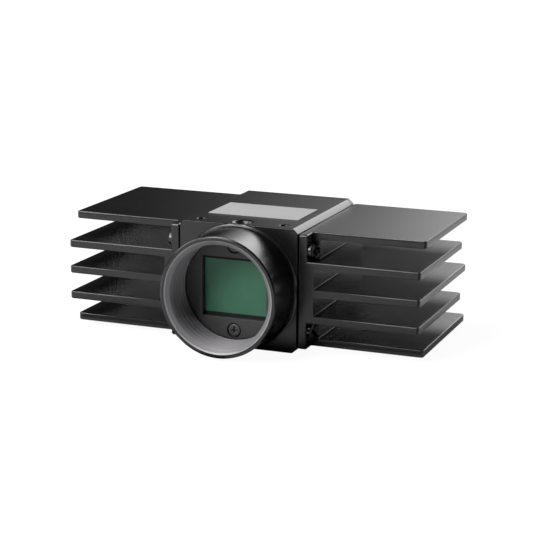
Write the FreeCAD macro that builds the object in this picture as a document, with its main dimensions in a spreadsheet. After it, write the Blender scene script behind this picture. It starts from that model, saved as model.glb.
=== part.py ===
"""Machine vision camera: a square housing with a threaded lens mount and two side heat sinks.

Lengths are in millimetres. The origin is on the optical axis, at the front face of the lens
mount. +X points to the right in a view from the front, +Y into the camera and +Z up.
"""
import FreeCAD, Part
import math
import os

import Sketcher
from FreeCAD import Placement, Rotation, Vector

doc = FreeCAD.newDocument("machine_vision_camera")
sizes = doc.addObject("Spreadsheet::Sheet", "sizes")
node_objects = {}

# Driving dimensions, one row each: name, value, meaning.
DIMENSIONS = [
    # housing
    ("neck_margin", 0.9, "housing sides outside the lens mount's neck"),
    ("body_bevel", 2.0, "bevel on the four long edges"),
    ("side_wall", 4.0, "wall round the rear bay"),
    ("front_wall", 3.0, "wall that carries the lens mount"),
    ("front_block", 10.2, "depth of the thick front end that holds the mounting threads"),
    ("corner_boss", 6.0, "corner cut of the rear bay, which leaves the cover screw bosses"),
    ("bay_side_wall", 4.5, "wall beside the front bay"),
    ("bay_top_wall", 8.0, "wall above and below the front bay"),
    ("window_gap", 0.6, "gap round the sensor package in the front wall"),
    ("hole_row", 5.2, "mounting hole row behind the housing front"),
    ("side_hole_spacing", 35.0, "distance between the two M4 holes"),
    ("side_hole_radius", 1.65, "M4 tapping hole"),
    ("side_hole_depth", 6.0, "depth of the M4 holes"),
    ("side_hole_flare", 0.55, "mouth of the M4 holes wider than the hole, on the radius"),
    ("tripod_radius", 2.6, "tripod thread tapping hole"),
    ("tripod_depth", 6.5, "depth of the tripod hole"),
    ("tripod_flare", 1.8, "mouth of the tripod hole wider than the hole, on the radius"),
    # lens mount
    ("mount_length", 20.9, "lens mount front face to housing front"),
    ("thread_diameter", 42.0, "lens thread M42"),
    ("thread_pitch", 1.0, "lens thread pitch"),
    ("thread_depth", 1.0825, "thread diameter less core diameter, for each unit of pitch"),
    ("entry_step", 1.5, "mouth of the lens thread beyond its outer radius"),
    ("relief_step", 0.15, "relief behind the lens thread beyond its outer radius"),
    ("relief_width", 0.8, "relief between thread and mask"),
    ("ring_wall", 1.6, "wall of the lens mount at its front face"),
    ("foot_step", 1.4, "mount's round foot outside its neck, before its flats are cut"),
    ("foot_thickness", 0.6, "thickness of the mount's foot"),
    ("foot_rim", 0.05, "foot left flat outside the fillet at the neck"),
    ("nose_bevel", 0.5, "outer bevel of the mount's front ring"),
    ("ledge_root", 0.2, "ledge let into the wall of the mount"),
    ("ledge_thickness", 2.0, "inner ledge of the mount that the mask rests on"),
    ("mount_screw_x", 8.0, "mount screws from the vertical centre plane"),
    ("mount_screw_inset", 2.8, "mount screws above and below the sensor window"),
    ("mount_hole_depth", 2.5, "tapped depth in the front wall"),
    # sensor mask
    ("mask_thickness", 1.8, "thickness of the mask plate"),
    ("mask_gap", 0.16, "radial gap between mask and thread"),
    ("collar_gap", 0.2, "gap between the mask's collar and the ledge"),
    ("collar_side_wall", 1.3, "wall of the collar beside the mask window"),
    ("collar_top_wall", 0.7, "wall of the collar above and below the mask window"),
    ("collar_depth", 0.7, "depth of the collar behind the mask plate"),
    ("mask_screw_inset", 3.3, "mask screw axis from the rim of the mask"),
    ("mask_well_gap", 0.5, "gap round a mask screw head in its counterbore"),
    ("mask_screw_floor", 0.4, "plate left under a mask screw head"),
    # sensor
    ("glass_side_margin", 1.1, "ceramic package beside the cover glass"),
    ("glass_top_margin", 1.7, "ceramic package above and below the cover glass"),
    ("glass_thickness", 0.7, "thickness of the cover glass"),
    ("gasket_side", 0.9, "width of the seal beside the cover glass"),
    ("package_width", 29.0, "width of the ceramic sensor package"),
    ("package_height", 25.0, "height of the sensor package"),
    ("package_thickness", 2.2, "thickness of the sensor package"),
    ("die_width", 22.6, "width of the image sensor die"),
    ("die_height", 17.0, "height of the image sensor die"),
    ("die_thickness", 0.5, "thickness of the die"),
    ("die_well", 0.9, "depth of the package recess that holds the die"),
    ("die_margin", 0.8, "gap between die and recess wall"),
    ("socket_wall", 3.0, "width of the frame under the sensor package"),
    # boards
    ("board_thickness", 1.6, "thickness of each circuit board"),
    ("board_gap", 0.6, "gap between board edge and housing wall"),
    ("boss_height", 1.1, "bosses under the sensor board"),
    ("boss_radius", 2.2, "radius of those bosses"),
    ("stack_side_inset", 2.5, "board fixings from the sides of the front bay"),
    ("stack_top_inset", 4.0, "board fixings from the top and bottom of the front bay"),
    ("stack_height", 11.5, "distance between boards"),
    ("standoff_flats", 4.0, "width across flats of the standoffs"),
    ("stud_radius", 1.0, "M2 stud of the standoffs"),
    ("stud_length", 3.6, "length of that stud"),
    ("board_hole_gap", 0.15, "gap round a stud in its board"),
    ("connector_length", 20.0, "length of a board connector"),
    ("connector_width", 4.4, "width of a board connector"),
    ("connector_inset", 3.0, "board connectors from the top and bottom of the front bay"),
    ("processor_side", 17.0, "side of the processor"),
    ("processor_height", 2.4, "height of the processor"),
    ("memory_width", 8.0, "width of a memory chip"),
    ("memory_length", 12.0, "length of a memory chip"),
    ("memory_height", 1.1, "height of a memory chip"),
    ("memory_offset", 6.0, "memory chips from the vertical centre plane"),
    ("chip_pad_thickness", 0.5, "thermal pad on the processor"),
    ("spreader_thickness", 2.5, "plate of the heat spreader"),
    ("spreader_height", 16.0, "height of the heat spreader"),
    ("spreader_leg", 1.6, "thickness of the heat spreader's side legs"),
    ("spreader_leg_length", 3.6, "length of those legs"),
    ("inductor_side", 6.2, "side of a power inductor"),
    ("inductor_height", 3.2, "height of a power inductor"),
    ("inductor_offset", 5.5, "power inductors from the centre planes"),
    ("network_chip_side", 12.0, "side of the network chip"),
    ("network_chip_height", 1.4, "height of the network chip"),
    # side heat sinks
    ("sink_length", 67.8, "length of the heat sinks"),
    ("pad_thickness", 0.5, "thermal pad between housing and heat sink"),
    ("pad_margin", 1.5, "edge of the heat sink base left free by the pad"),
    ("base_thickness", 6.1, "thickness of the heat sink base"),
    ("base_bevel", 0.7, "bevel on the front edges of the base, above and below"),
    ("fin_reach", 42.9, "fins from base to tip"),
    ("fin_thickness", 3.0, "thickness of a fin"),
    ("fin_count", 5, "fins on each heat sink"),
    ("fin_root", 0.5, "fillet where a fin meets the base"),
    ("fin_corner", 0.9, "bevel on the vertical corners of the fin ends"),
    ("front_cut", 7.1, "outer fins and base corners cut back at the front"),
    ("rear_cut", 6.7, "second fins and base cut back at the rear"),
    ("lug_thickness", 3.3, "base left under the screw heads"),
    ("front_screw_inset", 3.5, "front screws from the front end of the heat sink"),
    ("rear_screw_inset", 5.2, "rear screws from the rear end of the heat sink"),
    ("sink_screw_gap", 0.2, "gap round an M3 screw in the heat sink and its pad"),
    # rear cover and its sockets
    ("cover_thickness", 2.5, "rear cover plate"),
    ("cover_lip", 1.6, "depth of the lip that locates the cover"),
    ("cover_lip_wall", 1.4, "wall of that lip"),
    ("cover_lip_gap", 0.2, "gap between lip and housing wall"),
    ("cover_screw_inset", 4.5, "cover screws from the sides of the housing"),
    ("cover_screw_gap", 0.1, "gap round an M2.5 screw in the cover"),
    ("network_inset", 16.0, "network socket centre above the underside"),
    ("network_width", 16.0, "width of the network socket"),
    ("network_height", 13.6, "height of the network socket"),
    ("network_proud", 0.5, "network socket beyond the rear cover"),
    ("network_gap", 0.25, "gap round the network socket in the cover"),
    ("shield_thickness", 0.3, "sheet of the network socket's shield"),
    ("port_width", 11.8, "width of the plug opening"),
    ("port_height", 6.8, "height of the plug opening"),
    ("port_depth", 13.0, "depth of the plug opening"),
    ("latch_width", 6.2, "width of the latch slot below the plug opening"),
    ("latch_height", 1.9, "height of the latch slot"),
    ("contact_count", 8, "contacts of the network socket"),
    ("contact_pitch", 1.02, "pitch of the network contacts"),
    ("contact_width", 0.5, "width of a network contact"),
    ("contact_start", 3.9, "front end of the contacts inside the plug opening"),
    ("contact_drop", 2.0, "back end of the contacts below the roof of the opening"),
    ("lock_spacing", 24.0, "distance between the cable lock holes"),
    ("lock_radius", 0.85, "M2 tapping hole for the cable locks"),
    ("power_side_inset", 15.5, "power socket centre from the side of the housing"),
    ("socket_top_inset", 14.5, "power socket and status light below the top"),
    ("power_radius", 4.9, "outside radius of the power socket"),
    ("power_wall", 0.7, "wall of the power socket"),
    ("power_proud", 4.2, "power socket beyond the rear cover"),
    ("power_collar", 1.2, "power socket's collar outside its shell"),
    ("power_collar_thickness", 1.0, "thickness of that collar"),
    ("power_tail", 6.0, "power socket inside the rear cover"),
    ("power_gap", 0.15, "gap round the power socket in the cover"),
    ("nut_wall", 1.6, "wall of the power socket nut at its flats"),
    ("nut_thickness", 2.0, "thickness of that nut"),
    ("insert_depth", 5.0, "front face of the contact insert behind the socket mouth"),
    ("pin_radius", 0.35, "radius of a contact pin"),
    ("pin_circle", 2.75, "radius of the outer ring of pins"),
    ("pin_count", 10, "pins on that ring"),
    ("pin_centre_offset", 0.9, "the two middle pins from the socket axis"),
    ("pin_reach", 3.2, "contact pins beyond the insert"),
    ("light_side_inset", 14.5, "status light from the side of the housing"),
    ("light_radius", 1.5, "radius of the light pipe"),
    ("light_proud", 0.4, "light pipe beyond the rear cover"),
    ("light_gap", 0.1, "gap round the light pipe in the cover"),
    ("led_side", 2.0, "side of the light source on its board"),
    ("led_height", 0.8, "height of that light source"),
    # label area
    ("label_inset", 3.7, "plate on the top from the bevels beside it"),
    ("label_length", 23.1, "length of the plate on the top"),
    ("label_thickness", 0.3, "thickness of that plate"),
    ("label_start", 15.5, "front edge of the plate behind the housing front"),
    # fasteners
    ("thread_gap", 0.05, "radial gap round a screw in its tapped hole"),
    ("m3_radius", 1.5, "M3 shank"),
    ("m3_head_radius", 2.85, "M3 button head"),
    ("m3_head_height", 1.65, "M3 button head height"),
    ("m3_head_rim", 0.25, "straight rim under the dome of an M3 button head"),
    ("m3_key", 2.0, "M3 hexagon socket"),
    ("m3_key_depth", 1.0, "depth of the hexagon socket"),
    ("m3_length", 6.0, "M3 shank length"),
    ("m3_hole_depth", 3.4, "tapped depth in the housing side"),
    ("m2_radius", 1.0, "M2 shank"),
    ("m2_head_radius", 1.9, "M2 cheese head"),
    ("m2_head_height", 1.3, "M2 head height"),
    ("m2_length", 3.0, "M2 shank length"),
    ("mask_head_radius", 2.5, "mask screw head"),
    ("mask_head_height", 1.2, "mask screw head height"),
    ("mask_screw_length", 4.4, "mask screw shank length"),
    ("cover_head_radius", 2.4, "cover screw countersunk head"),
    ("cover_shank_radius", 1.25, "cover screw shank"),
    ("cover_screw_length", 8.0, "cover screw length below its face"),
    ("slot_width", 0.5, "cross recess width"),
    ("slot_length", 2.0, "cross recess length"),
    ("slot_depth", 0.7, "cross recess depth"),
    ("head_bevel", 0.3, "bevel on the rim of a screw head"),
]

for row_number, (alias, amount, meaning) in enumerate(DIMENSIONS, start=1):
    sizes.set("A%d" % row_number, meaning)
    sizes.set("B%d" % row_number, str(amount))
    sizes.setAlias("B%d" % row_number, alias)
doc.recompute()


def join(*terms):
    """Add expression texts."""
    return "(" + " + ".join(terms) + ")"


def less(first, *others):
    """Take the other expression texts from the first one."""
    return "(" + " - ".join((first,) + others) + ")"


def half(text):
    """Half of an expression text."""
    return "(%s / 2)" % text


def minus(text):
    """Negative of an expression text."""
    return "(-%s)" % text


def value(text):
    """Number that an expression text gives now."""
    return float(sizes.evalExpression(text))


def cell(alias):
    """Expression text of one driving dimension."""
    return "sizes." + alias


# Planes and lengths that several pieces share.
ENTRY_RADIUS = join(half(cell("thread_diameter")), cell("entry_step"))
RELIEF_RADIUS = join(half(cell("thread_diameter")), cell("relief_step"))
NECK_RADIUS = join(ENTRY_RADIUS, cell("ring_wall"))
FOOT_RADIUS = join(NECK_RADIUS, cell("foot_step"))
BODY_HALF = join(NECK_RADIUS, cell("neck_margin"))
BAY_HALF_WIDTH = less(BODY_HALF, cell("bay_side_wall"))
BAY_HALF_HEIGHT = less(BODY_HALF, cell("bay_top_wall"))
BODY_FRONT = cell("mount_length")
SINK_FRONT = BODY_FRONT
REAR = join(SINK_FRONT, cell("sink_length"))
COVER_FRONT = less(REAR, cell("cover_thickness"))
BLOCK_END = join(BODY_FRONT, cell("front_block"))
WALL_END = join(BODY_FRONT, cell("front_wall"))
REAR_BAY_HALF = less(BODY_HALF, cell("side_wall"))
SINK_HEIGHT = "2 * " + less(BODY_HALF, cell("body_bevel"))
FIN_PITCH = "((%s - sizes.fin_thickness) / (sizes.fin_count - 1))" % SINK_HEIGHT
SINK_SCREW_HOLE = join(cell("m3_radius"), cell("sink_screw_gap"))
CHANNEL = less(FIN_PITCH, cell("fin_thickness"))
BASE_INNER = join(BODY_HALF, cell("pad_thickness"))
BASE_OUTER = join(BASE_INNER, cell("base_thickness"))
LUG_FACE = join(BASE_INNER, cell("lug_thickness"))
FIN_TIP = join(BASE_OUTER, cell("fin_reach"))
FRONT_SCREW_Y = join(SINK_FRONT, cell("front_screw_inset"))
REAR_SCREW_Y = less(REAR, cell("rear_screw_inset"))
TOP_FIN = half(less(SINK_HEIGHT, cell("fin_thickness")))
SECOND_FIN = less(TOP_FIN, FIN_PITCH)
FRONT_SCREW_Z = less(TOP_FIN, half(FIN_PITCH))
REAR_SCREW_Z = SECOND_FIN
THREAD_RADIUS = half("(sizes.thread_diameter - sizes.thread_depth * sizes.thread_pitch)")
LEDGE_FRONT = less(BODY_FRONT, cell("ledge_thickness"))
MASK_FRONT = less(LEDGE_FRONT, cell("mask_thickness"))
COLLAR_BACK = join(LEDGE_FRONT, cell("collar_depth"))
MOUNT_WELL = join(cell("m2_head_height"), cell("thread_gap"))
PACKAGE_FRONT = join(COLLAR_BACK, cell("glass_thickness"))
PACKAGE_BACK = join(PACKAGE_FRONT, cell("package_thickness"))
WINDOW_WIDTH = join(cell("package_width"), "2 * " + cell("window_gap"))
WINDOW_HEIGHT = join(cell("package_height"), "2 * " + cell("window_gap"))
SENSOR_BOARD = join(WALL_END, cell("boss_height"))
STACK_STEP = join(cell("stack_height"), cell("board_thickness"))
PROCESSOR_BOARD = join(SENSOR_BOARD, STACK_STEP)
POWER_BOARD = join(PROCESSOR_BOARD, STACK_STEP)
INTERFACE_BOARD = join(POWER_BOARD, STACK_STEP)
INTERFACE_BACK = join(INTERFACE_BOARD, cell("board_thickness"))
MOUNT_SCREW_Z = join(half(WINDOW_HEIGHT), cell("mount_screw_inset"))
MASK_RADIUS = less(THREAD_RADIUS, cell("mask_gap"))
MASK_SCREW_ROW = less(MASK_RADIUS, cell("mask_screw_inset"))
MASK_WINDOW_WIDTH = less(WINDOW_WIDTH, "2 * " + join(cell("collar_gap"), cell("collar_side_wall")))
MASK_WINDOW_HEIGHT = less(WINDOW_HEIGHT, "2 * " + join(cell("collar_gap"), cell("collar_top_wall")))
GLASS_WIDTH = less(cell("package_width"), "2 * " + cell("glass_side_margin"))
GLASS_HEIGHT = less(cell("package_height"), "2 * " + cell("glass_top_margin"))
STACK_X = less(BAY_HALF_WIDTH, cell("stack_side_inset"))
STACK_Z = less(BAY_HALF_HEIGHT, cell("stack_top_inset"))
CONNECTOR_ROW = less(BAY_HALF_HEIGHT, cell("connector_inset"))
STUD_HOLE = join(cell("stud_radius"), cell("board_hole_gap"))
NETWORK_BACK = join(REAR, cell("network_proud"))
POWER_MOUTH = join(REAR, cell("power_proud"))
POWER_BORE = less(cell("power_radius"), cell("power_wall"))
COVER_SCREW_OFFSET = less(BODY_HALF, cell("cover_screw_inset"))
COVER_SCREW_HOLE = join(cell("cover_shank_radius"), cell("cover_screw_gap"))
NETWORK_Z = less(cell("network_inset"), BODY_HALF)
POWER_X = less(BODY_HALF, cell("power_side_inset"))
SOCKET_Z = less(BODY_HALF, cell("socket_top_inset"))
LIGHT_X = less(cell("light_side_inset"), BODY_HALF)

# Largest difference at which two edges count as the same.
SAME = 1e-4

# The sketch plane's normal along its own row axis.
PLANE_SIGN = {"XY_Plane": 1, "XZ_Plane": -1, "YZ_Plane": 1}


def new_body(label):
    """Start a body whose label names its node."""
    body = doc.addObject("PartDesign::Body", label)
    body.Label = label
    node_objects[label] = body
    return body


def origin_feature(body, role):
    """Origin plane or axis of a body, found by its role."""
    return next(item for item in body.Origin.OriginFeatures if item.Role == role)


def sketch_on(body, plane, along, name):
    """Sketch on an origin plane, moved to the coordinate along on the plane's row axis."""
    sketch = body.newObject("Sketcher::SketchObject", name)
    sketch.AttachmentSupport = [(origin_feature(body, plane), "")]
    sketch.MapMode = "FlatFace"
    sign = "" if PLANE_SIGN[plane] > 0 else "-"
    sketch.setExpression("AttachmentOffset.Base.z", "%s(%s)" % (sign, along))
    return sketch


def pin_point(sketch, geometry, vertex, across, up):
    """Tie a sketch point to two expressions, measured from the sketch origin."""
    for kind, text in (("DistanceX", across), ("DistanceY", up)):
        constraint = Sketcher.Constraint(kind, -1, 1, geometry, vertex, value(text))
        number = sketch.addConstraint(constraint)
        sketch.setExpression("Constraints[%d]" % number, text)


def add_outline(sketch, corners):
    """Closed outline of straight sides through the given corners."""
    points = [Vector(value(across), value(up), 0) for across, up in corners]
    first = sketch.GeometryCount
    count = len(points)
    for index in range(count):
        side = Part.LineSegment(points[index], points[(index + 1) % count])
        sketch.addGeometry(side, False)
    for index in range(count):
        following = first + (index + 1) % count
        sketch.addConstraint(Sketcher.Constraint("Coincident", first + index, 2, following, 1))
    for index, (across, up) in enumerate(corners):
        pin_point(sketch, first + index, 1, across, up)


def add_circle(sketch, across, up, radius):
    """Circle with its centre and radius tied to expressions."""
    centre = Vector(value(across), value(up), 0)
    number = sketch.addGeometry(Part.Circle(centre, Vector(0, 0, 1), value(radius)), False)
    pin_point(sketch, number, 3, across, up)
    constraint = sketch.addConstraint(Sketcher.Constraint("Radius", number, value(radius)))
    sketch.setExpression("Constraints[%d]" % constraint, radius)


def rectangle(width, height, across="0", up="0"):
    """Corners of a rectangle about a centre."""
    left, right = less(across, half(width)), join(across, half(width))
    low, high = less(up, half(height)), join(up, half(height))
    return [(left, low), (right, low), (right, high), (left, high)]


def span(left, right, low, high):
    """Corners of a rectangle between four coordinates."""
    return [(left, low), (right, low), (right, high), (left, high)]


def bevelled_rectangle(half_width, half_height, bevel):
    """Corners of a centred rectangle with equal corner bevels."""
    corners = []
    for side, level in ((1, 1), (-1, 1), (-1, -1), (1, -1)):
        outer = "%d * %s" % (side, half_width)
        inner = "%d * %s" % (side, less(half_width, bevel))
        top = "%d * %s" % (level, half_height)
        under = "%d * %s" % (level, less(half_height, bevel))
        pair = [(outer, under), (inner, top)]
        corners.extend(pair if side * level > 0 else pair[::-1])
    return corners


def hexagon(flats):
    """Corners of a hexagon with the given width across flats."""
    reach = flats + " / sqrt(3)"
    return [("%s * %.9f" % (reach, math.cos(math.radians(60 * turn))),
             "%s * %.9f" % (reach, math.sin(math.radians(60 * turn)))) for turn in range(6)]


def four_corners(across, up):
    """The four mirrored positions of a fixing."""
    return [(side + across, level + up) for side in ("", "-") for level in ("", "-")]


def pad(body, sketch, plane, depth, toward=1):
    """Pad a sketch along its row axis, towards plus or minus."""
    feature = body.newObject("PartDesign::Pad", sketch.Name + "_pad")
    feature.Profile = sketch
    feature.setExpression("Length", depth)
    feature.Reversed = PLANE_SIGN[plane] != toward
    body.Tip = feature
    return feature


def pocket(body, sketch, plane, depth, toward=1):
    """Cut a sketch along its row axis and make sure that it took material away."""
    doc.recompute()
    before = body.Shape.Volume
    feature = body.newObject("PartDesign::Pocket", sketch.Name + "_pocket")
    feature.Profile = sketch
    feature.setExpression("Length", depth)
    feature.Reversed = PLANE_SIGN[plane] == toward
    body.Tip = feature
    doc.recompute()
    if not body.Shape.Volume < before:
        raise RuntimeError("%s cut nothing" % feature.Name)
    return feature


def mirror(body, features, plane):
    """Repeat features on the other side of an origin plane."""
    mirrored = body.newObject("PartDesign::Mirrored", features[0].Name + "_mirrored")
    mirrored.Originals = features
    mirrored.MirrorPlane = (origin_feature(body, plane), [""])
    body.Tip = mirrored
    return mirrored


def prism(label, plane, start, depth, outlines, circles=()):
    """Body of one pad: the first outline is its edge, the others and the circles are holes."""
    body = new_body(label)
    sketch = sketch_on(body, plane, start, label + "_outline")
    for outline in outlines:
        add_outline(sketch, outline)
    for across, up, radius in circles:
        add_circle(sketch, across, up, radius)
    pad(body, sketch, plane, depth)
    return body


def turned(label, corners):
    """Body turned about +Y: corners are radius and distance along the axis."""
    body = new_body(label)
    sketch = sketch_on(body, "XY_Plane", "0", label + "_profile")
    add_outline(sketch, corners)
    feature = body.newObject("PartDesign::Revolution", label + "_turned")
    feature.Profile = sketch
    feature.ReferenceAxis = (sketch, ["V_Axis"])
    feature.Angle = 360.0
    body.Tip = feature
    return body


def edges_where(shape, test):
    """Names of the edges that pass a test."""
    return ["Edge%d" % (index + 1) for index, edge in enumerate(shape.Edges) if test(edge)]


def ring_edges(shape, radius, along):
    """Names of the circular edges about +Y with a radius at a distance along it."""
    def matches(edge):
        curve = edge.Curve
        return (isinstance(curve, Part.Circle) and abs(curve.Radius - radius) < SAME
                and abs(curve.Center.y - along) < SAME)
    return edges_where(shape, matches)


def copies(label, master, places):
    """Node of separate equal solids, one at each place."""
    doc.recompute()
    solids = []
    for place in places:
        solid = master.Shape.copy()
        solid.Placement = place
        solids.append(solid)
    feature = doc.addObject("Part::Feature", label)
    feature.Label = label
    feature.Shape = Part.makeCompound(solids)
    node_objects[label] = feature
    return feature


def master(body):
    """Keep a body as a pattern for copies, not as a node of its own."""
    node_objects.pop(body.Label)
    return body


def screw_place(across, along, up, facing):
    """Placement of a screw that is modelled with its head towards -Y."""
    return Placement(Vector(value(across), value(along), value(up)),
                     Rotation(Vector(0, -1, 0), Vector(*facing)))


# Screws. Each master lies on +Y, seat of the head at the origin, head towards -Y.
def headed_screw(label, radius, head_radius, head_height, length):
    """Screw with a cylindrical head and a bevelled rim."""
    rim = less(head_radius, cell("head_bevel"))
    return turned(label, [
        ("0", minus(head_height)),
        (rim, minus(head_height)),
        (head_radius, less(cell("head_bevel"), head_height)),
        (head_radius, "0"),
        (radius, "0"),
        (radius, length),
        ("0", length),
    ])


def button_screw(label, radius, head_radius, head_height, rim, length):
    """Screw with a domed head that ends in a low straight rim."""
    body = turned(label, [
        ("0", minus(head_height)),
        (head_radius, minus(head_height)),
        (head_radius, "0"),
        (radius, "0"),
        (radius, length),
        ("0", length),
    ])
    doc.recompute()
    turned_shape = body.Tip
    edge = ring_edges(turned_shape.Shape, value(head_radius), value(minus(head_height)))
    dome = body.newObject("PartDesign::Fillet", label + "_dome")
    dome.Base = (turned_shape, edge)
    dome.setExpression("Radius", less(head_height, rim))
    body.Tip = dome
    return body


def cross_recess(body, top, depth):
    """Cross recess in a screw head whose top is at the coordinate top on Y."""
    arm = cell("slot_width")
    reach = cell("slot_length")
    sketch = sketch_on(body, "XZ_Plane", top, body.Name + "_recess")
    add_outline(sketch, [
        (half(arm), half(arm)), (half(arm), half(reach)), (minus(half(arm)), half(reach)),
        (minus(half(arm)), half(arm)), (minus(half(reach)), half(arm)),
        (minus(half(reach)), minus(half(arm))), (minus(half(arm)), minus(half(arm))),
        (minus(half(arm)), minus(half(reach))), (half(arm), minus(half(reach))),
        (half(arm), minus(half(arm))), (half(reach), minus(half(arm))), (half(reach), half(arm)),
    ])
    pocket(body, sketch, "XZ_Plane", depth)


sink_screw = master(button_screw("m3_button_screw", cell("m3_radius"), cell("m3_head_radius"),
                                 cell("m3_head_height"), cell("m3_head_rim"), cell("m3_length")))
key_sketch = sketch_on(sink_screw, "XZ_Plane", minus(cell("m3_head_height")), "m3_key_outline")
add_outline(key_sketch, hexagon(cell("m3_key")))
pocket(sink_screw, key_sketch, "XZ_Plane", cell("m3_key_depth"))

small_screw = master(headed_screw("m2_screw", cell("m2_radius"), cell("m2_head_radius"),
                                  cell("m2_head_height"), cell("m2_length")))
cross_recess(small_screw, minus(cell("m2_head_height")), cell("slot_depth"))

mask_screw = master(headed_screw("mask_screw", cell("m2_radius"), cell("mask_head_radius"),
                                 cell("mask_head_height"), cell("mask_screw_length")))
cross_recess(mask_screw, minus(cell("mask_head_height")), cell("slot_depth"))

cover_screw = master(turned("cover_screw", [
    ("0", "0"),
    (cell("cover_head_radius"), "0"),
    (cell("cover_shank_radius"), less(cell("cover_head_radius"), cell("cover_shank_radius"))),
    (cell("cover_shank_radius"), cell("cover_screw_length")),
    ("0", cell("cover_screw_length")),
]))
cross_recess(cover_screw, "0", cell("slot_depth"))


def main_housing():
    """One-piece housing: square outside with bevelled edges, front wall and two bays."""
    body = new_body("main_housing")
    plane = "XZ_Plane"
    outer = sketch_on(body, plane, BODY_FRONT, "housing_section")
    add_outline(outer, bevelled_rectangle(BODY_HALF, BODY_HALF, cell("body_bevel")))
    pad(body, outer, plane, less(COVER_FRONT, BODY_FRONT))

    rear_bay = sketch_on(body, plane, BLOCK_END, "rear_bay")
    add_outline(rear_bay, bevelled_rectangle(REAR_BAY_HALF, REAR_BAY_HALF, cell("corner_boss")))
    pocket(body, rear_bay, plane, less(COVER_FRONT, BLOCK_END))

    front_bay = sketch_on(body, plane, WALL_END, "front_bay")
    add_outline(front_bay, span(minus(BAY_HALF_WIDTH), BAY_HALF_WIDTH,
                                minus(BAY_HALF_HEIGHT), BAY_HALF_HEIGHT))
    pocket(body, front_bay, plane, less(BLOCK_END, WALL_END))

    bosses = sketch_on(body, plane, WALL_END, "board_bosses")
    for across, up in four_corners(STACK_X, STACK_Z):
        add_circle(bosses, across, up, cell("boss_radius"))
    pad(body, bosses, plane, cell("boss_height"))

    window = sketch_on(body, plane, BODY_FRONT, "sensor_window")
    add_outline(window, rectangle(WINDOW_WIDTH, WINDOW_HEIGHT))
    pocket(body, window, plane, cell("front_wall"))

    stud_holes = sketch_on(body, plane, SENSOR_BOARD, "stud_holes")
    for across, up in four_corners(STACK_X, STACK_Z):
        add_circle(stud_holes, across, up, join(cell("stud_radius"), cell("thread_gap")))
    pocket(body, stud_holes, plane, less(cell("stud_length"), cell("board_thickness")), toward=-1)

    mount_holes = sketch_on(body, plane, BODY_FRONT, "mount_holes")
    tapped = join(cell("m2_radius"), cell("thread_gap"))
    for across, up in four_corners(cell("mount_screw_x"), MOUNT_SCREW_Z):
        add_circle(mount_holes, across, up, tapped)
    for level in ("", "-"):
        add_circle(mount_holes, "0", level + MASK_SCREW_ROW, tapped)
    pocket(body, mount_holes, plane, cell("mount_hole_depth"))

    cover_holes = sketch_on(body, plane, COVER_FRONT, "cover_holes")
    for across, up in four_corners(COVER_SCREW_OFFSET, COVER_SCREW_OFFSET):
        add_circle(cover_holes, across, up, join(cell("cover_shank_radius"), cell("thread_gap")))
    pocket(body, cover_holes, plane, cell("cover_screw_length"), toward=-1)

    housing_mount_holes(body)
    housing_side_holes(body)


def housing_mount_holes(body):
    """Two M4 holes and a tripod thread in the top and the bottom, each with a conical mouth."""
    row = join(BODY_FRONT, cell("hole_row"))
    offset = half(cell("side_hole_spacing"))
    holes = (
        ("left", minus(offset), "side_hole_radius", "side_hole_flare", "side_hole_depth"),
        ("right", offset, "side_hole_radius", "side_hole_flare", "side_hole_depth"),
        ("tripod", "0", "tripod_radius", "tripod_flare", "tripod_depth"),
    )
    for name, across, radius, flare, depth in holes:
        sketch = sketch_on(body, "XZ_Plane", row, name + "_hole_profile")
        mouth = join(cell(radius), cell(flare))
        add_outline(sketch, [
            (across, BODY_HALF),
            (join(across, mouth), BODY_HALF),
            (join(across, cell(radius)), less(BODY_HALF, cell(flare))),
            (join(across, cell(radius)), less(BODY_HALF, cell(depth))),
            (across, less(BODY_HALF, cell(depth))),
        ])
        axis_number = sketch.addGeometry(
            Part.LineSegment(Vector(value(across), 0, 0), Vector(value(across), 1, 0)), True)
        pin_point(sketch, axis_number, 1, across, "0")
        pin_point(sketch, axis_number, 2, across, "1")
        doc.recompute()
        before = body.Shape.Volume
        groove = body.newObject("PartDesign::Groove", name + "_hole")
        groove.Profile = sketch
        groove.ReferenceAxis = (sketch, ["Axis0"])
        groove.Angle = 360.0
        body.Tip = groove
        doc.recompute()
        if not body.Shape.Volume < before:
            raise RuntimeError("%s cut nothing" % groove.Name)
        mirror(body, [groove], "XY_Plane")


def housing_side_holes(body):
    """Tapped holes in both sides for the heat sink screws."""
    plane = "YZ_Plane"
    sketch = sketch_on(body, plane, BODY_HALF, "side_holes")
    radius = join(cell("m3_radius"), cell("thread_gap"))
    for along, up in ((FRONT_SCREW_Y, FRONT_SCREW_Z), (REAR_SCREW_Y, REAR_SCREW_Z)):
        add_circle(sketch, along, up, radius)
        add_circle(sketch, along, minus(up), radius)
    side_holes = pocket(body, sketch, plane, cell("m3_hole_depth"), toward=-1)
    mirror(body, [side_holes], "YZ_Plane")


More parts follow.
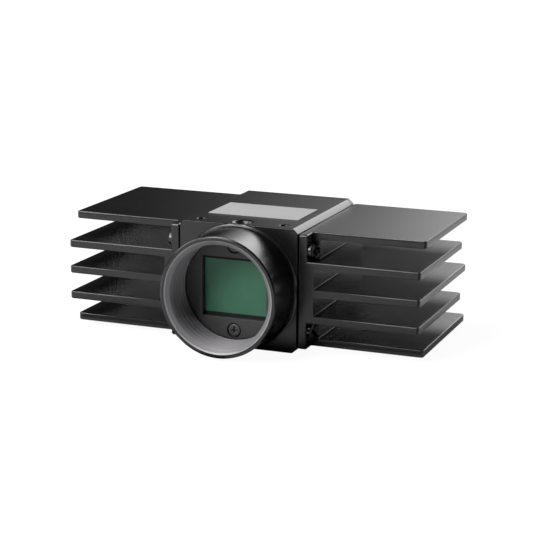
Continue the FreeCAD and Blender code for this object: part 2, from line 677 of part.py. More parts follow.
def lens_mount():
    """Turned lens mount: foot, neck, front ring, thread bore and the ledge behind the mask.

    The foot is wider than the housing and is milled flush with its four sides.
    """
    neck_end = less(BODY_FRONT, cell("foot_thickness"))
    entry = less(ENTRY_RADIUS, THREAD_RADIUS)
    relief = less(MASK_FRONT, cell("relief_width"))
    body = turned("lens_mount", [
        (ENTRY_RADIUS, "0"),
        (less(NECK_RADIUS, cell("nose_bevel")), "0"),
        (NECK_RADIUS, cell("nose_bevel")),
        (NECK_RADIUS, neck_end),
        (FOOT_RADIUS, neck_end),
        (FOOT_RADIUS, BODY_FRONT),
        (RELIEF_RADIUS, BODY_FRONT),
        (RELIEF_RADIUS, relief),
        (THREAD_RADIUS, relief),
        (THREAD_RADIUS, entry),
    ])
    doc.recompute()
    turned_shape = body.Tip
    root = ring_edges(turned_shape.Shape, value(NECK_RADIUS), value(neck_end))
    fillet = body.newObject("PartDesign::Fillet", "neck_root")
    fillet.Base = (turned_shape, root)
    root_radius = less(cell("foot_step"), cell("foot_rim"))
    fillet.setExpression("Radius", root_radius)
    body.Tip = fillet

    plane = "XZ_Plane"
    flats = sketch_on(body, plane, less(neck_end, root_radius), "foot_flats")
    around = "2 * " + join(FOOT_RADIUS, cell("foot_step"))
    flush = "2 * " + BODY_HALF
    add_outline(flats, rectangle(around, around))
    add_outline(flats, rectangle(flush, flush))
    pocket(body, flats, plane, join(cell("foot_thickness"), root_radius))

    ledge = sketch_on(body, plane, LEDGE_FRONT, "ledge")
    add_circle(ledge, "0", "0", join(RELIEF_RADIUS, cell("ledge_root")))
    pad(body, ledge, plane, cell("ledge_thickness"))
    window = sketch_on(body, plane, LEDGE_FRONT, "ledge_window")
    add_outline(window, rectangle(WINDOW_WIDTH, WINDOW_HEIGHT))
    pocket(body, window, plane, cell("ledge_thickness"))

    holes = sketch_on(body, plane, LEDGE_FRONT, "ledge_holes")
    clearance = join(cell("m2_radius"), cell("board_hole_gap"))
    for across, up in four_corners(cell("mount_screw_x"), MOUNT_SCREW_Z):
        add_circle(holes, across, up, clearance)
    for level in ("", "-"):
        add_circle(holes, "0", level + MASK_SCREW_ROW, clearance)
    pocket(body, holes, plane, cell("ledge_thickness"))

    wells = sketch_on(body, plane, LEDGE_FRONT, "ledge_wells")
    for across, up in four_corners(cell("mount_screw_x"), MOUNT_SCREW_Z):
        add_circle(wells, across, up, join(cell("m2_head_radius"), cell("board_hole_gap")))
    pocket(body, wells, plane, MOUNT_WELL)


def mount_screws():
    """Four screws that hold the lens mount to the front wall, under the mask."""
    seat = join(LEDGE_FRONT, MOUNT_WELL)
    places = [screw_place(across, seat, up, (0, -1, 0))
              for across, up in four_corners(cell("mount_screw_x"), MOUNT_SCREW_Z)]
    copies("lens_mount_screws", small_screw, places)


def sensor_mask():
    """Round mask with a rectangular window, a collar behind it and two screw wells."""
    window = rectangle(MASK_WINDOW_WIDTH, MASK_WINDOW_HEIGHT)
    body = prism("sensor_mask", "XZ_Plane", MASK_FRONT, cell("mask_thickness"), [window],
                 [("0", "0", MASK_RADIUS)])
    plane = "XZ_Plane"
    collar = sketch_on(body, plane, LEDGE_FRONT, "mask_collar")
    gap = "2 * " + cell("collar_gap")
    add_outline(collar, rectangle(less(WINDOW_WIDTH, gap), less(WINDOW_HEIGHT, gap)))
    add_outline(collar, window)
    pad(body, collar, plane, cell("collar_depth"))

    wells = sketch_on(body, plane, MASK_FRONT, "mask_wells")
    holes = sketch_on(body, plane, MASK_FRONT, "mask_holes")
    for level in ("", "-"):
        add_circle(wells, "0", level + MASK_SCREW_ROW,
                   join(cell("mask_head_radius"), cell("mask_well_gap")))
        add_circle(holes, "0", level + MASK_SCREW_ROW,
                   join(cell("m2_radius"), cell("board_hole_gap")))
    pocket(body, wells, plane, less(cell("mask_thickness"), cell("mask_screw_floor")))
    pocket(body, holes, plane, cell("mask_thickness"))

    seat = less(LEDGE_FRONT, cell("mask_screw_floor"))
    copies("mask_screws", mask_screw,
           [screw_place("0", seat, level + MASK_SCREW_ROW, (0, -1, 0))
            for level in ("", "-")])


def sensor_stack():
    """Cover glass, its seal, the die, the ceramic package and the socket under it."""
    plane = "XZ_Plane"
    glass = rectangle(GLASS_WIDTH, GLASS_HEIGHT)
    window = rectangle(less(cell("package_width"), "2 * " + cell("gasket_side")), GLASS_HEIGHT)
    package = rectangle(cell("package_width"), cell("package_height"))
    prism("cover_glass", plane, COLLAR_BACK, cell("glass_thickness"), [glass])
    prism("sensor_gasket", plane, COLLAR_BACK, cell("glass_thickness"), [package, window])

    ceramic = prism("sensor_package", plane, PACKAGE_FRONT, cell("package_thickness"), [package])
    well = sketch_on(ceramic, plane, PACKAGE_FRONT, "die_well")
    add_outline(well, rectangle(join(cell("die_width"), "2 * " + cell("die_margin")),
                                join(cell("die_height"), "2 * " + cell("die_margin"))))
    pocket(ceramic, well, plane, cell("die_well"))

    die_front = less(join(PACKAGE_FRONT, cell("die_well")), cell("die_thickness"))
    prism("sensor_die", plane, die_front, cell("die_thickness"),
          [rectangle(cell("die_width"), cell("die_height"))])
    frame = "2 * " + cell("socket_wall")
    inside = rectangle(less(cell("package_width"), frame), less(cell("package_height"), frame))
    prism("sensor_socket", plane, PACKAGE_BACK, less(SENSOR_BOARD, PACKAGE_BACK),
          [package, inside])


def board(label, front, outline):
    """Circuit board with four fixing holes."""
    holes = [(across, up, STUD_HOLE)
             for across, up in four_corners(STACK_X, STACK_Z)]
    return prism(label, "XZ_Plane", front, cell("board_thickness"), [outline], holes)


def board_stack():
    """Four circuit boards with the standoffs and connectors between them."""
    small_half = less(BAY_HALF_WIDTH, cell("board_gap"))
    small_top = less(BAY_HALF_HEIGHT, cell("board_gap"))
    small = span(minus(small_half), small_half, minus(small_top), small_top)
    large_half = less(REAR_BAY_HALF, cell("board_gap"))
    large = bevelled_rectangle(large_half, large_half, cell("corner_boss"))
    board("sensor_board", SENSOR_BOARD, small)
    board("processor_board", PROCESSOR_BOARD, large)
    board("power_board", POWER_BOARD, large)
    board("interface_board", INTERFACE_BOARD, large)

    standoff = master(standoff_master())
    connector = master(prism("connector_master", "XZ_Plane", "0", cell("stack_height"),
                             [rectangle(cell("connector_length"), cell("connector_width"))]))
    fixings = four_corners(STACK_X, STACK_Z)
    for name, front in (("front", SENSOR_BOARD), ("middle", PROCESSOR_BOARD),
                        ("rear", POWER_BOARD)):
        seat = join(front, cell("board_thickness"))
        copies("standoffs_" + name, standoff,
               [screw_place(across, seat, up, (0, -1, 0)) for across, up in fixings])
        copies("board_connectors_" + name, connector,
               [screw_place("0", seat, level + CONNECTOR_ROW, (0, -1, 0))
                for level in ("", "-")])
    copies("board_screws", small_screw,
           [screw_place(across, INTERFACE_BACK, up, (0, 1, 0)) for across, up in fixings])


def standoff_master():
    """Hexagonal standoff with a stud at its front and a tapped hole at its rear."""
    plane = "XZ_Plane"
    body = prism("standoff_master", plane, "0", cell("stack_height"),
                 [hexagon(cell("standoff_flats"))])
    stud = sketch_on(body, plane, "0", "standoff_stud")
    add_circle(stud, "0", "0", cell("stud_radius"))
    pad(body, stud, plane, cell("stud_length"), toward=-1)
    hole = sketch_on(body, plane, cell("stack_height"), "standoff_hole")
    add_circle(hole, "0", "0", join(cell("stud_radius"), cell("thread_gap")))
    pocket(body, hole, plane, cell("stud_length"), toward=-1)
    return body


def board_components():
    """Chips and power parts, and the heat spreader between the processor and both side walls."""
    plane = "XZ_Plane"
    behind = join(PROCESSOR_BOARD, cell("board_thickness"))
    chip = rectangle(cell("processor_side"), cell("processor_side"))
    prism("processor_chip", plane, behind, cell("processor_height"), [chip])
    pad_front = join(behind, cell("processor_height"))
    prism("processor_pad", plane, pad_front, cell("chip_pad_thickness"), [chip])

    plate_front = join(pad_front, cell("chip_pad_thickness"))
    plate_back = join(plate_front, cell("spreader_thickness"))
    leg_end = join(plate_back, cell("spreader_leg_length"))
    leg_inner = less(REAR_BAY_HALF, cell("spreader_leg"))
    prism("heat_spreader", "XY_Plane", minus(half(cell("spreader_height"))),
          cell("spreader_height"), [[
              (minus(REAR_BAY_HALF), plate_front), (REAR_BAY_HALF, plate_front),
              (REAR_BAY_HALF, leg_end), (leg_inner, leg_end),
              (leg_inner, plate_back), (minus(leg_inner), plate_back),
              (minus(leg_inner), leg_end), (minus(REAR_BAY_HALF), leg_end),
          ]])

    memory = master(prism("memory_master", plane, "0", cell("memory_height"),
                          [rectangle(cell("memory_width"), cell("memory_length"))]))
    memory_front = less(PROCESSOR_BOARD, cell("memory_height"))
    copies("memory_chips", memory,
           [screw_place(side + cell("memory_offset"), memory_front, "0", (0, -1, 0))
            for side in ("", "-")])

    inductor = master(prism("inductor_master", plane, "0", cell("inductor_height"),
                            [rectangle(cell("inductor_side"), cell("inductor_side"))]))
    power_back = join(POWER_BOARD, cell("board_thickness"))
    copies("power_inductors", inductor,
           [screw_place(across, power_back, up, (0, -1, 0))
            for across, up in four_corners(cell("inductor_offset"), cell("inductor_offset"))])
    network_chip = rectangle(cell("network_chip_side"), cell("network_chip_side"))
    prism("network_chip", plane, less(INTERFACE_BOARD, cell("network_chip_height")),
          cell("network_chip_height"), [network_chip])


def heat_sink(label):
    """Finned heat sink: extruded comb, then milled back for its screws at both ends."""
    body = new_body(label)
    section = "XZ_Plane"
    base = sketch_on(body, section, SINK_FRONT, label + "_base")
    add_outline(base, span(BASE_INNER, BASE_OUTER, minus(half(SINK_HEIGHT)), half(SINK_HEIGHT)))
    base_pad = pad(body, base, section, cell("sink_length"))
    doc.recompute()
    bevel = body.newObject("PartDesign::Chamfer", label + "_base_bevel")
    bevel.Base = (base_pad, edges_where(base_pad.Shape, is_base_front_edge))
    bevel.setExpression("Size", cell("base_bevel"))
    body.Tip = bevel

    fin = sketch_on(body, section, SINK_FRONT, label + "_fin")
    add_outline(fin, span(BASE_OUTER, FIN_TIP, minus(half(SINK_HEIGHT)),
                          less(cell("fin_thickness"), half(SINK_HEIGHT))))
    fin_pad = pad(body, fin, section, cell("sink_length"))
    pattern = body.newObject("PartDesign::LinearPattern", label + "_fins")
    pattern.Originals = [fin_pad]
    pattern.Direction = (fin, ["V_Axis"])
    pattern.setExpression("Length", less(SINK_HEIGHT, cell("fin_thickness")))
    pattern.setExpression("Occurrences", cell("fin_count"))
    body.Tip = pattern
    doc.recompute()
    roots = edges_where(pattern.Shape, is_fin_root)
    fillet = body.newObject("PartDesign::Fillet", label + "_roots")
    fillet.Base = (pattern, roots)
    fillet.setExpression("Radius", cell("fin_root"))
    body.Tip = fillet

    mill_fin_corners(body, label)
    mill_end(body, label + "_front", SINK_FRONT, 1, cell("front_cut"), FRONT_SCREW_Y,
             FRONT_SCREW_Z, TOP_FIN, join(SECOND_FIN, half(cell("fin_thickness"))),
             half(SINK_HEIGHT))
    rear_reach = join(half(FIN_PITCH), half(CHANNEL))
    mill_end(body, label + "_rear", REAR, -1, cell("rear_cut"), REAR_SCREW_Y, REAR_SCREW_Z,
             SECOND_FIN, less(SECOND_FIN, rear_reach), join(SECOND_FIN, rear_reach))
    return body


def is_base_front_edge(edge):
    """Whether an edge is the upper or lower one of the base's front face."""
    box = edge.BoundBox
    front = value(SINK_FRONT)
    at_front = abs(box.YMin - front) < SAME and abs(box.YMax - front) < SAME
    return at_front and box.XLength > SAME


def is_fin_root(edge):
    """Whether an edge runs along the channel between two fins, on the base."""
    box = edge.BoundBox
    outer = value(BASE_OUTER)
    inside = value(half(SINK_HEIGHT)) - SAME
    on_base = abs(box.XMin - outer) < SAME and abs(box.XMax - outer) < SAME
    return on_base and box.YLength > SAME and max(abs(box.ZMin), abs(box.ZMax)) < inside


def mill_fin_corners(body, label):
    """Bevel the vertical corners at both ends of the full-length fins."""
    plane = "XY_Plane"
    sketch = sketch_on(body, plane, minus(half(SINK_HEIGHT)), label + "_corners")
    bevel = cell("fin_corner")
    for end, inward in ((SINK_FRONT, join), (REAR, less)):
        add_outline(sketch, [(less(FIN_TIP, bevel), end), (FIN_TIP, end),
                             (FIN_TIP, inward(end, bevel))])
    pocket(body, sketch, plane, SINK_HEIGHT)


def mill_end(body, name, end, inward, cut, screw_y, screw_z, fin_z, low, high):
    """Cut one fin and the base back at one end, above and below the centre plane."""
    move = join if inward > 0 else less
    stop = move(end, cut)
    bevel = cell("fin_corner")
    fin_low = less(fin_z, half(cell("fin_thickness")))
    cut_fin = sketch_on(body, "XY_Plane", fin_low, name + "_fin_cut")
    add_outline(cut_fin, [
        (BASE_OUTER, end),
        (FIN_TIP, end),
        (FIN_TIP, move(stop, bevel)),
        (less(FIN_TIP, bevel), stop),
        (BASE_OUTER, stop),
    ])
    fin_pocket = pocket(body, cut_fin, "XY_Plane", cell("fin_thickness"))

    side = "YZ_Plane"
    over_root = join(BASE_OUTER, cell("fin_root"))
    lug = sketch_on(body, side, over_root, name + "_lug")
    near, far = (end, stop) if inward > 0 else (stop, end)
    add_outline(lug, span(near, far, low, high))
    depth = less(over_root, LUG_FACE)
    lug_pocket = pocket(body, lug, side, depth, toward=-1)

    well = sketch_on(body, side, over_root, name + "_well")
    add_circle(well, screw_y, screw_z, half(CHANNEL))
    well_pocket = pocket(body, well, side, depth, toward=-1)

    hole = sketch_on(body, side, LUG_FACE, name + "_hole")
    add_circle(hole, screw_y, screw_z, SINK_SCREW_HOLE)
    hole_pocket = pocket(body, hole, side, cell("lug_thickness"), toward=-1)
    mirror(body, [fin_pocket, lug_pocket, well_pocket, hole_pocket], "XY_Plane")


def side_pad(label):
    """Thermal pad between a heat sink and the housing side, with holes for the screws."""
    margin = cell("pad_margin")
    edge = less(half(SINK_HEIGHT), margin)
    outline = span(join(SINK_FRONT, margin), less(REAR, margin), minus(edge), edge)
    holes = []
    for along, up in ((FRONT_SCREW_Y, FRONT_SCREW_Z), (REAR_SCREW_Y, REAR_SCREW_Z)):
        holes.append((along, up, SINK_SCREW_HOLE))
        holes.append((along, minus(up), SINK_SCREW_HOLE))
    return prism(label, "YZ_Plane", BODY_HALF, cell("pad_thickness"), [outline], holes)


def side_assembly(side, half_turn):
    """Heat sink, pad and screws of one side. The left set is the right one turned half round."""
    place = Placement(Vector(), Rotation(Vector(0, 1, 0), half_turn))
    heat_sink("heat_sink_" + side).Placement = place
    side_pad("side_pad_" + side).Placement = place
    places = []
    for along, up in ((FRONT_SCREW_Y, FRONT_SCREW_Z), (REAR_SCREW_Y, REAR_SCREW_Z)):
        for level in (up, minus(up)):
            places.append(place.multiply(screw_place(LUG_FACE, along, level, (1, 0, 0))))
    copies("heat_sink_screws_" + side, sink_screw, places)


def rear_cover():
    """Rear cover with its locating lip and the openings for sockets, light and screws."""
    plane = "XZ_Plane"
    outline = bevelled_rectangle(BODY_HALF, BODY_HALF, cell("body_bevel"))
    gap = "2 * " + cell("network_gap")
    network = rectangle(join(cell("network_width"), gap), join(cell("network_height"), gap),
                        "0", NETWORK_Z)
    circles = [
        (POWER_X, SOCKET_Z, join(cell("power_radius"), cell("power_gap"))),
        (LIGHT_X, SOCKET_Z, join(cell("light_radius"), cell("light_gap"))),
    ]
    for side in ("", "-"):
        circles.append((side + half(cell("lock_spacing")), NETWORK_Z, cell("lock_radius")))
    for across, up in four_corners(COVER_SCREW_OFFSET, COVER_SCREW_OFFSET):
        circles.append((across, up, COVER_SCREW_HOLE))
    body = prism("rear_cover", plane, COVER_FRONT, cell("cover_thickness"), [outline, network],
                 circles)

    lip = sketch_on(body, plane, less(COVER_FRONT, cell("cover_lip")), "cover_lip")
    lip_half = less(REAR_BAY_HALF, cell("cover_lip_gap"))
    inner_half = less(lip_half, cell("cover_lip_wall"))
    add_outline(lip, bevelled_rectangle(lip_half, lip_half, cell("corner_boss")))
    add_outline(lip, bevelled_rectangle(inner_half, inner_half, cell("corner_boss")))
    pad(body, lip, plane, cell("cover_lip"))

    doc.recompute()
    plate = body.Tip
    mouths = ring_edges(plate.Shape, value(COVER_SCREW_HOLE), value(REAR))
    sink = body.newObject("PartDesign::Chamfer", "cover_screw_sinks")
    sink.Base = (plate, mouths)
    sink.setExpression("Size", less(join(cell("cover_head_radius"), cell("thread_gap")),
                                    COVER_SCREW_HOLE))
    body.Tip = sink
    copies("rear_cover_screws", cover_screw,
           [screw_place(across, REAR, up, (0, 1, 0))
            for across, up in four_corners(COVER_SCREW_OFFSET, COVER_SCREW_OFFSET)])


def network_socket():
    """Network socket: folded shield, moulded insert with the plug opening, and its contacts."""
    plane = "XZ_Plane"
    sheet = "2 * " + cell("shield_thickness")
    inner_width = less(cell("network_width"), sheet)
    inner_height = less(cell("network_height"), sheet)
    length = less(NETWORK_BACK, INTERFACE_BACK)
    prism("network_socket_shield", plane, INTERFACE_BACK, length,
          [rectangle(cell("network_width"), cell("network_height"), "0", NETWORK_Z),
           rectangle(inner_width, inner_height, "0", NETWORK_Z)])
    insert = prism("network_socket_insert", plane, INTERFACE_BACK, length,
                   [rectangle(inner_width, inner_height, "0", NETWORK_Z)])
    port = sketch_on(insert, plane, NETWORK_BACK, "plug_opening")
    low = less(NETWORK_Z, half(cell("port_height")))
    high = join(NETWORK_Z, half(cell("port_height")))
    latch = less(low, cell("latch_height"))
    wide, narrow = half(cell("port_width")), half(cell("latch_width"))
    add_outline(port, [
        (minus(wide), high), (minus(wide), low), (minus(narrow), low), (minus(narrow), latch),
        (narrow, latch), (narrow, low), (wide, low), (wide, high),
    ])
    pocket(insert, port, plane, cell("port_depth"), toward=-1)

    contact = network_contact()
    places = []
    count = int(value(cell("contact_count")))
    for step in range(count):
        across = "%.1f * %s" % (step - (count - 1) / 2, cell("contact_pitch"))
        places.append(screw_place(across, NETWORK_BACK, high, (0, -1, 0)))
    copies("network_contacts", contact, places)


def network_contact():
    """Spring contact that slopes down from the roof of the plug opening towards its back."""
    body = new_body("contact_master")
    plane = "YZ_Plane"
    thick = half(cell("contact_width"))
    start = minus(cell("contact_start"))
    end = minus(cell("port_depth"))
    drop = minus(cell("contact_drop"))
    sketch = sketch_on(body, plane, minus(half(cell("contact_width"))), "contact_side")
    add_outline(sketch, [(start, "0"), (start, minus(thick)), (end, less(drop, thick)),
                         (end, drop), (join(start, minus(thick)), "0")])
    pad(body, sketch, plane, cell("contact_width"))
    return master(body)


def power_socket():
    """Round power and signal socket: shell, nut, contact insert and twelve pins."""
    inside = less(COVER_FRONT, cell("power_tail"))
    collar_radius = join(cell("power_radius"), cell("power_collar"))
    collar_end = join(REAR, cell("power_collar_thickness"))
    shell = turned("power_socket", [
        (POWER_BORE, inside),
        (cell("power_radius"), inside),
        (cell("power_radius"), REAR),
        (collar_radius, REAR),
        (collar_radius, collar_end),
        (cell("power_radius"), collar_end),
        (cell("power_radius"), POWER_MOUTH),
        (POWER_BORE, POWER_MOUTH),
    ])
    nut = prism("power_socket_nut", "XZ_Plane", less(COVER_FRONT, cell("nut_thickness")),
                cell("nut_thickness"),
                [hexagon("2 * " + join(cell("power_radius"), cell("nut_wall")))],
                [("0", "0", join(cell("power_radius"), cell("thread_gap")))])
    insert_back = less(POWER_MOUTH, cell("insert_depth"))
    insert = new_body("power_socket_insert")
    plane = "XZ_Plane"
    sketch = sketch_on(insert, plane, inside, "insert_section")
    add_circle(sketch, "0", "0", less(POWER_BORE, cell("thread_gap")))
    pad(insert, sketch, plane, less(insert_back, inside))
    pin_holes = sketch_on(insert, plane, inside, "pin_holes")
    for across, up in pin_positions():
        add_circle(pin_holes, across, up, join(cell("pin_radius"), cell("thread_gap")))
    pocket(insert, pin_holes, plane, less(insert_back, inside))
    for piece in (shell, nut, insert):
        piece.setExpression("Placement.Base.x", POWER_X)
        piece.setExpression("Placement.Base.z", SOCKET_Z)

    pin_length = less(join(insert_back, cell("pin_reach")), INTERFACE_BACK)
    pin_master = new_body("pin_master")
    pin_sketch = sketch_on(pin_master, plane, "0", "pin_section")
    add_circle(pin_sketch, "0", "0", cell("pin_radius"))
    pad(pin_master, pin_sketch, plane, pin_length)
    places = [screw_place(join(POWER_X, across), INTERFACE_BACK, join(SOCKET_Z, up), (0, -1, 0))
              for across, up in pin_positions()]
    copies("power_socket_pins", master(pin_master), places)


def pin_positions():
    """Pins on a ring and two in the middle."""
    count = int(value(cell("pin_count")))
    ring = [math.tau * step / count for step in range(count)]
    places = [("%s * %.6f" % (cell("pin_circle"), math.sin(turn)),
               "%s * %.6f" % (cell("pin_circle"), math.cos(turn))) for turn in ring]
    offset = cell("pin_centre_offset")
    return places + [(offset, "0"), (minus(offset), "0")]


def status_light():
    """Status light: source on the interface board and a light pipe through the cover."""
    plane = "XZ_Plane"
    square = rectangle(cell("led_side"), cell("led_side"), LIGHT_X, SOCKET_Z)
    prism("status_light_source", plane, INTERFACE_BACK, cell("led_height"), [square])
    pipe = new_body("status_light_pipe")
    front = join(INTERFACE_BACK, cell("led_height"))
    sketch = sketch_on(pipe, plane, front, "light_pipe_section")
    add_circle(sketch, LIGHT_X, SOCKET_Z, cell("light_radius"))
    pad(pipe, sketch, plane, less(join(REAR, cell("light_proud")), front))


def label_plate():
    """Plain plate on the top of the housing."""
    start = join(BODY_FRONT, cell("label_start"))
    edge = less(BODY_HALF, cell("body_bevel"), cell("label_inset"))
    outline = span(minus(edge), edge, start, join(start, cell("label_length")))
    prism("label_plate", "XY_Plane", BODY_HALF, cell("label_thickness"), [outline])


def check_model():
    """Stop if any object failed or any node's shape is missing or broken."""
    doc.recompute()
    for item in doc.Objects:
        if "Invalid" in item.State or "Error" in item.State:
            raise RuntimeError("%s is %s" % (item.Name, item.State))
    for label, item in node_objects.items():
        if item.Shape.isNull() or not item.Shape.isValid() or not item.Shape.Solids:
            raise RuntimeError("%s has no valid solid" % label)


def export_nodes():
    """Write one file for each node."""
    os.makedirs("parts", exist_ok=True)
    for label, item in sorted(node_objects.items()):
        item.Shape.exportStep("parts/%s.step" % label)


main_housing()
lens_mount()
mount_screws()
sensor_mask()
sensor_stack()
board_stack()
board_components()
side_assembly("right", 0.0)
side_assembly("left", 180.0)
rear_cover()
network_socket()
power_socket()
status_light()
label_plate()
check_model()
export_nodes()
print("%d nodes written" % len(node_objects))
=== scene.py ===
"""Looks of the machine vision camera: its materials, detailed pieces, studio and camera.

Lengths in this file are metres unless a name ends in MM. The frame is the part's own: the origin
is the centre of the lens mount's front face, +X right seen from the front, +Y into the camera
and +Z up.
"""
from __future__ import annotations

import logging
import math
from dataclasses import dataclass
from enum import Enum

import bmesh
import bpy
from mathutils import Matrix, Vector


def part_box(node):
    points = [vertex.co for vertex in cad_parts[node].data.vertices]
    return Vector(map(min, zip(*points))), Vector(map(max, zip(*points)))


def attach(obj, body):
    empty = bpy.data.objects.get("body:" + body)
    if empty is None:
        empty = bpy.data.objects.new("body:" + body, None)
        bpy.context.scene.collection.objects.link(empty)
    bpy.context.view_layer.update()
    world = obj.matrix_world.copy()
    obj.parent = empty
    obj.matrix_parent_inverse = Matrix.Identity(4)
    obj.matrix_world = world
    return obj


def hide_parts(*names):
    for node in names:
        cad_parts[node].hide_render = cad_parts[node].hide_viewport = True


LOG = logging.getLogger("camera_scene")
MM = 0.001
ROOT = "root"
WHITE = (1.0, 1.0, 1.0, 1.0)
Pair = tuple[float, float]

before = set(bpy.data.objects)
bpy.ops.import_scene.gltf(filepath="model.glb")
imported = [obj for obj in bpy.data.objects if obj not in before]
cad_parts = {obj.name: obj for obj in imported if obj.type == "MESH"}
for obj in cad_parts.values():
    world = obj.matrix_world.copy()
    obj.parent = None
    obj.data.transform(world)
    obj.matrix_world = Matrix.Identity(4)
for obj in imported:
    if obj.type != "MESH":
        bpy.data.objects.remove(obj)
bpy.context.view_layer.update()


def srgb(hex_colour: str) -> tuple[float, float, float, float]:
    """Turn an sRGB hex colour into the linear colour that shaders take.

    Args:
        hex_colour: Six hex digits.

    Returns:
        Red, green, blue and alpha, linear, alpha 1.
    """
    channels = []
    for start in (0, 2, 4):
        level = int(hex_colour[start:start + 2], 16) / 255
        channels.append(level / 12.92 if level <= 0.04045 else ((level + 0.055) / 1.055) ** 2.4)
    return channels[0], channels[1], channels[2], 1.0


class Grain(Enum):
    """Direction of a surface's fine texture."""

    EVEN = "even"
    DRAWN = "drawn"
    TURNED = "turned"


@dataclass(frozen=True)
class Finish:
    """What a material looks like.

    Attributes:
        name: Common name of the real material.
        dark: Colour of its darker areas, in hex.
        light: Colour of its lighter areas, in hex.
        roughness: Lowest and highest roughness.
        metallic: How metallic it is, from 0 to 1.
        grain: Direction of the fine texture.
        grain_mm: Size of the fine texture.
        bump_mm: Height of the fine texture.
        specular: Strength of the dielectric reflection.
        coat: Strength of a clear coat.
        transmission: How much light passes through.
        crest_highlight_mm: Spacing of stripes round the axis, painted highlights of crests, or 0.
        speckle: How much of the fine texture shows in the colour.
    """

    name: str
    dark: str
    light: str
    roughness: Pair
    metallic: float = 0.0
    grain: Grain = Grain.EVEN
    grain_mm: float = 0.4
    bump_mm: float = 0.0001
    specular: float = 0.5
    coat: float = 0.0
    transmission: float = 0.0
    crest_highlight_mm: float = 0.0
    speckle: float = 0.35


# The grain of these surfaces is a few hundredths of a millimetre, too fine to show at the
# photograph's distance, so it is drawn as coarse as 0.4 mm where it shows, and nearly flat.

# Bead blasted, then anodised: an even satin black.
BODY_ANODISED = Finish("black_anodised_blasted_aluminium", "0e0e0f", "131314", (0.268, 0.273),
                       speckle=0.04)
# Extruded, then anodised: the same black, with a grain along the fins.
SINK_ANODISED = Finish("black_anodised_extruded_aluminium", "0d0d0e", "121213", (0.268, 0.272),
                       grain=Grain.DRAWN, speckle=0.03)
# Turned, then anodised: a little glossier, with rings round the axis.
MOUNT_ANODISED = Finish("black_anodised_turned_aluminium", "0e0e0f", "121213", (0.258, 0.262),
                        grain=Grain.TURNED, speckle=0.04)
# Cut and thinly anodised: greyer, with lighter stripes painted round the axis as painted
# highlights of the thread's crests. The real pitch of 1 mm is too fine to show from the front,
# so the stripes are drawn 2.8 mm apart.
THREAD_ANODISED = Finish("thread_cut_anodised_aluminium", "444245", "716f72", (0.42, 0.5),
                         metallic=0.1, grain=Grain.TURNED, bump_mm=0.0002, crest_highlight_mm=2.8,
                         speckle=0.1)
# Bare metal where the mouth was cut: a thin pale line round it.
CUT_EDGE = Finish("bare_cut_aluminium_edge", "8c8c8e", "9c9c9e", (0.45, 0.52), metallic=0.25,
                  grain=Grain.TURNED, bump_mm=0.0002, speckle=0.1)
# Broken anodised edge: painted a shade paler than the faces, a painted highlight line.
EDGE_PAINTED_HIGHLIGHT = Finish("anodised_edge_painted_highlight", "1b1b1c", "232324", (0.26, 0.27),
                        speckle=0.05)
# Matt plate that keeps stray light off the sensor: dull dark grey.
MASK_ANODISED = Finish("matt_black_anodised_plate", "383737", "403f3f", (0.5, 0.6),
                       bump_mm=0.0004, speckle=0.08)
# Oiled oxide on steel: near black with a soft glint.
BLACK_OXIDE = Finish("black_oxide_steel", "19191a", "262628", (0.22, 0.34), metallic=0.6,
                     grain_mm=0.2, bump_mm=0.0005)
# Black nickel plating: dark metal with small bright points on its rim.
BLACK_NICKEL = Finish("black_nickel_plated_steel", "414144", "4c4c4f", (0.28, 0.32), metallic=1.0,
                      speckle=0.1)
# Satin oxide: a grey head that stands out from the mask.
SCREW_FACE = Finish("satin_black_oxide_steel", "4a4a4c", "5a5a5c", (0.4, 0.5), metallic=0.3,
                    bump_mm=0.0002, speckle=0.1)
# Plain steel: bright and neutral.
BRIGHT_STEEL = Finish("bright_steel", "8b8b8d", "a9a9ab", (0.2, 0.34), metallic=1.0,
                      grain_mm=0.2, bump_mm=0.001)
# Nickel over turned brass: bright with a warm tint.
NICKEL_BRASS = Finish("nickel_plated_brass", "a7a394", "c4c0b0", (0.16, 0.28), metallic=1.0,
                      grain=Grain.TURNED, grain_mm=0.1, bump_mm=0.001)
# Dielectric coating on glass: an even green that reflects little.
FILTER_GLASS = Finish("coated_filter_glass", "416d58", "47735d", (0.1, 0.14), grain_mm=8.0,
                      bump_mm=0.0, specular=0.1, speckle=0.1)
# Moulded rubber: dull black.
SEAL_RUBBER = Finish("black_seal_rubber", "131313", "1c1c1c", (0.7, 0.85), grain_mm=0.2,
                     bump_mm=0.006, specular=0.3)
# Unglazed alumina: dull brown grey.
CERAMIC = Finish("dark_alumina_ceramic", "2b2622", "37312c", (0.5, 0.65), grain_mm=0.1,
                 bump_mm=0.003)
# Polished silicon: smooth, with a dark green sheen.
SILICON = Finish("polished_silicon_die", "203a33", "2a463c", (0.1, 0.2), metallic=0.6,
                 grain_mm=0.3, bump_mm=0.0)
# Glass filled moulding: black with a faint texture.
CONNECTOR_PLASTIC = Finish("glass_filled_moulding", "141415", "1d1d1e", (0.42, 0.6),
                           grain_mm=0.25, bump_mm=0.005)
# Cured lacquer on laminate: glossy green.
SOLDER_MASK = Finish("green_solder_mask", "0d3a20", "14502d", (0.25, 0.4), grain_mm=1.4,
                     bump_mm=0.01, coat=0.4)
# Moulded epoxy: matt charcoal.
CHIP_EPOXY = Finish("moulded_chip_epoxy", "19191a", "242425", (0.55, 0.7), grain_mm=0.12,
                    bump_mm=0.004)
# Graphite in silicone: dull black that takes no light.
THERMAL_PAD = Finish("graphite_filled_silicone_pad", "0b0b0c", "121213", (0.75, 0.9),
                     grain_mm=0.3, bump_mm=0.004, specular=0.1)
# Bare milled aluminium: pale metal with straight tool marks.
MILLED_ALUMINIUM = Finish("milled_bare_aluminium", "b4b4b6", "cdcdd0", (0.25, 0.4), metallic=1.0,
                          grain=Grain.DRAWN, grain_mm=0.15, bump_mm=0.002)
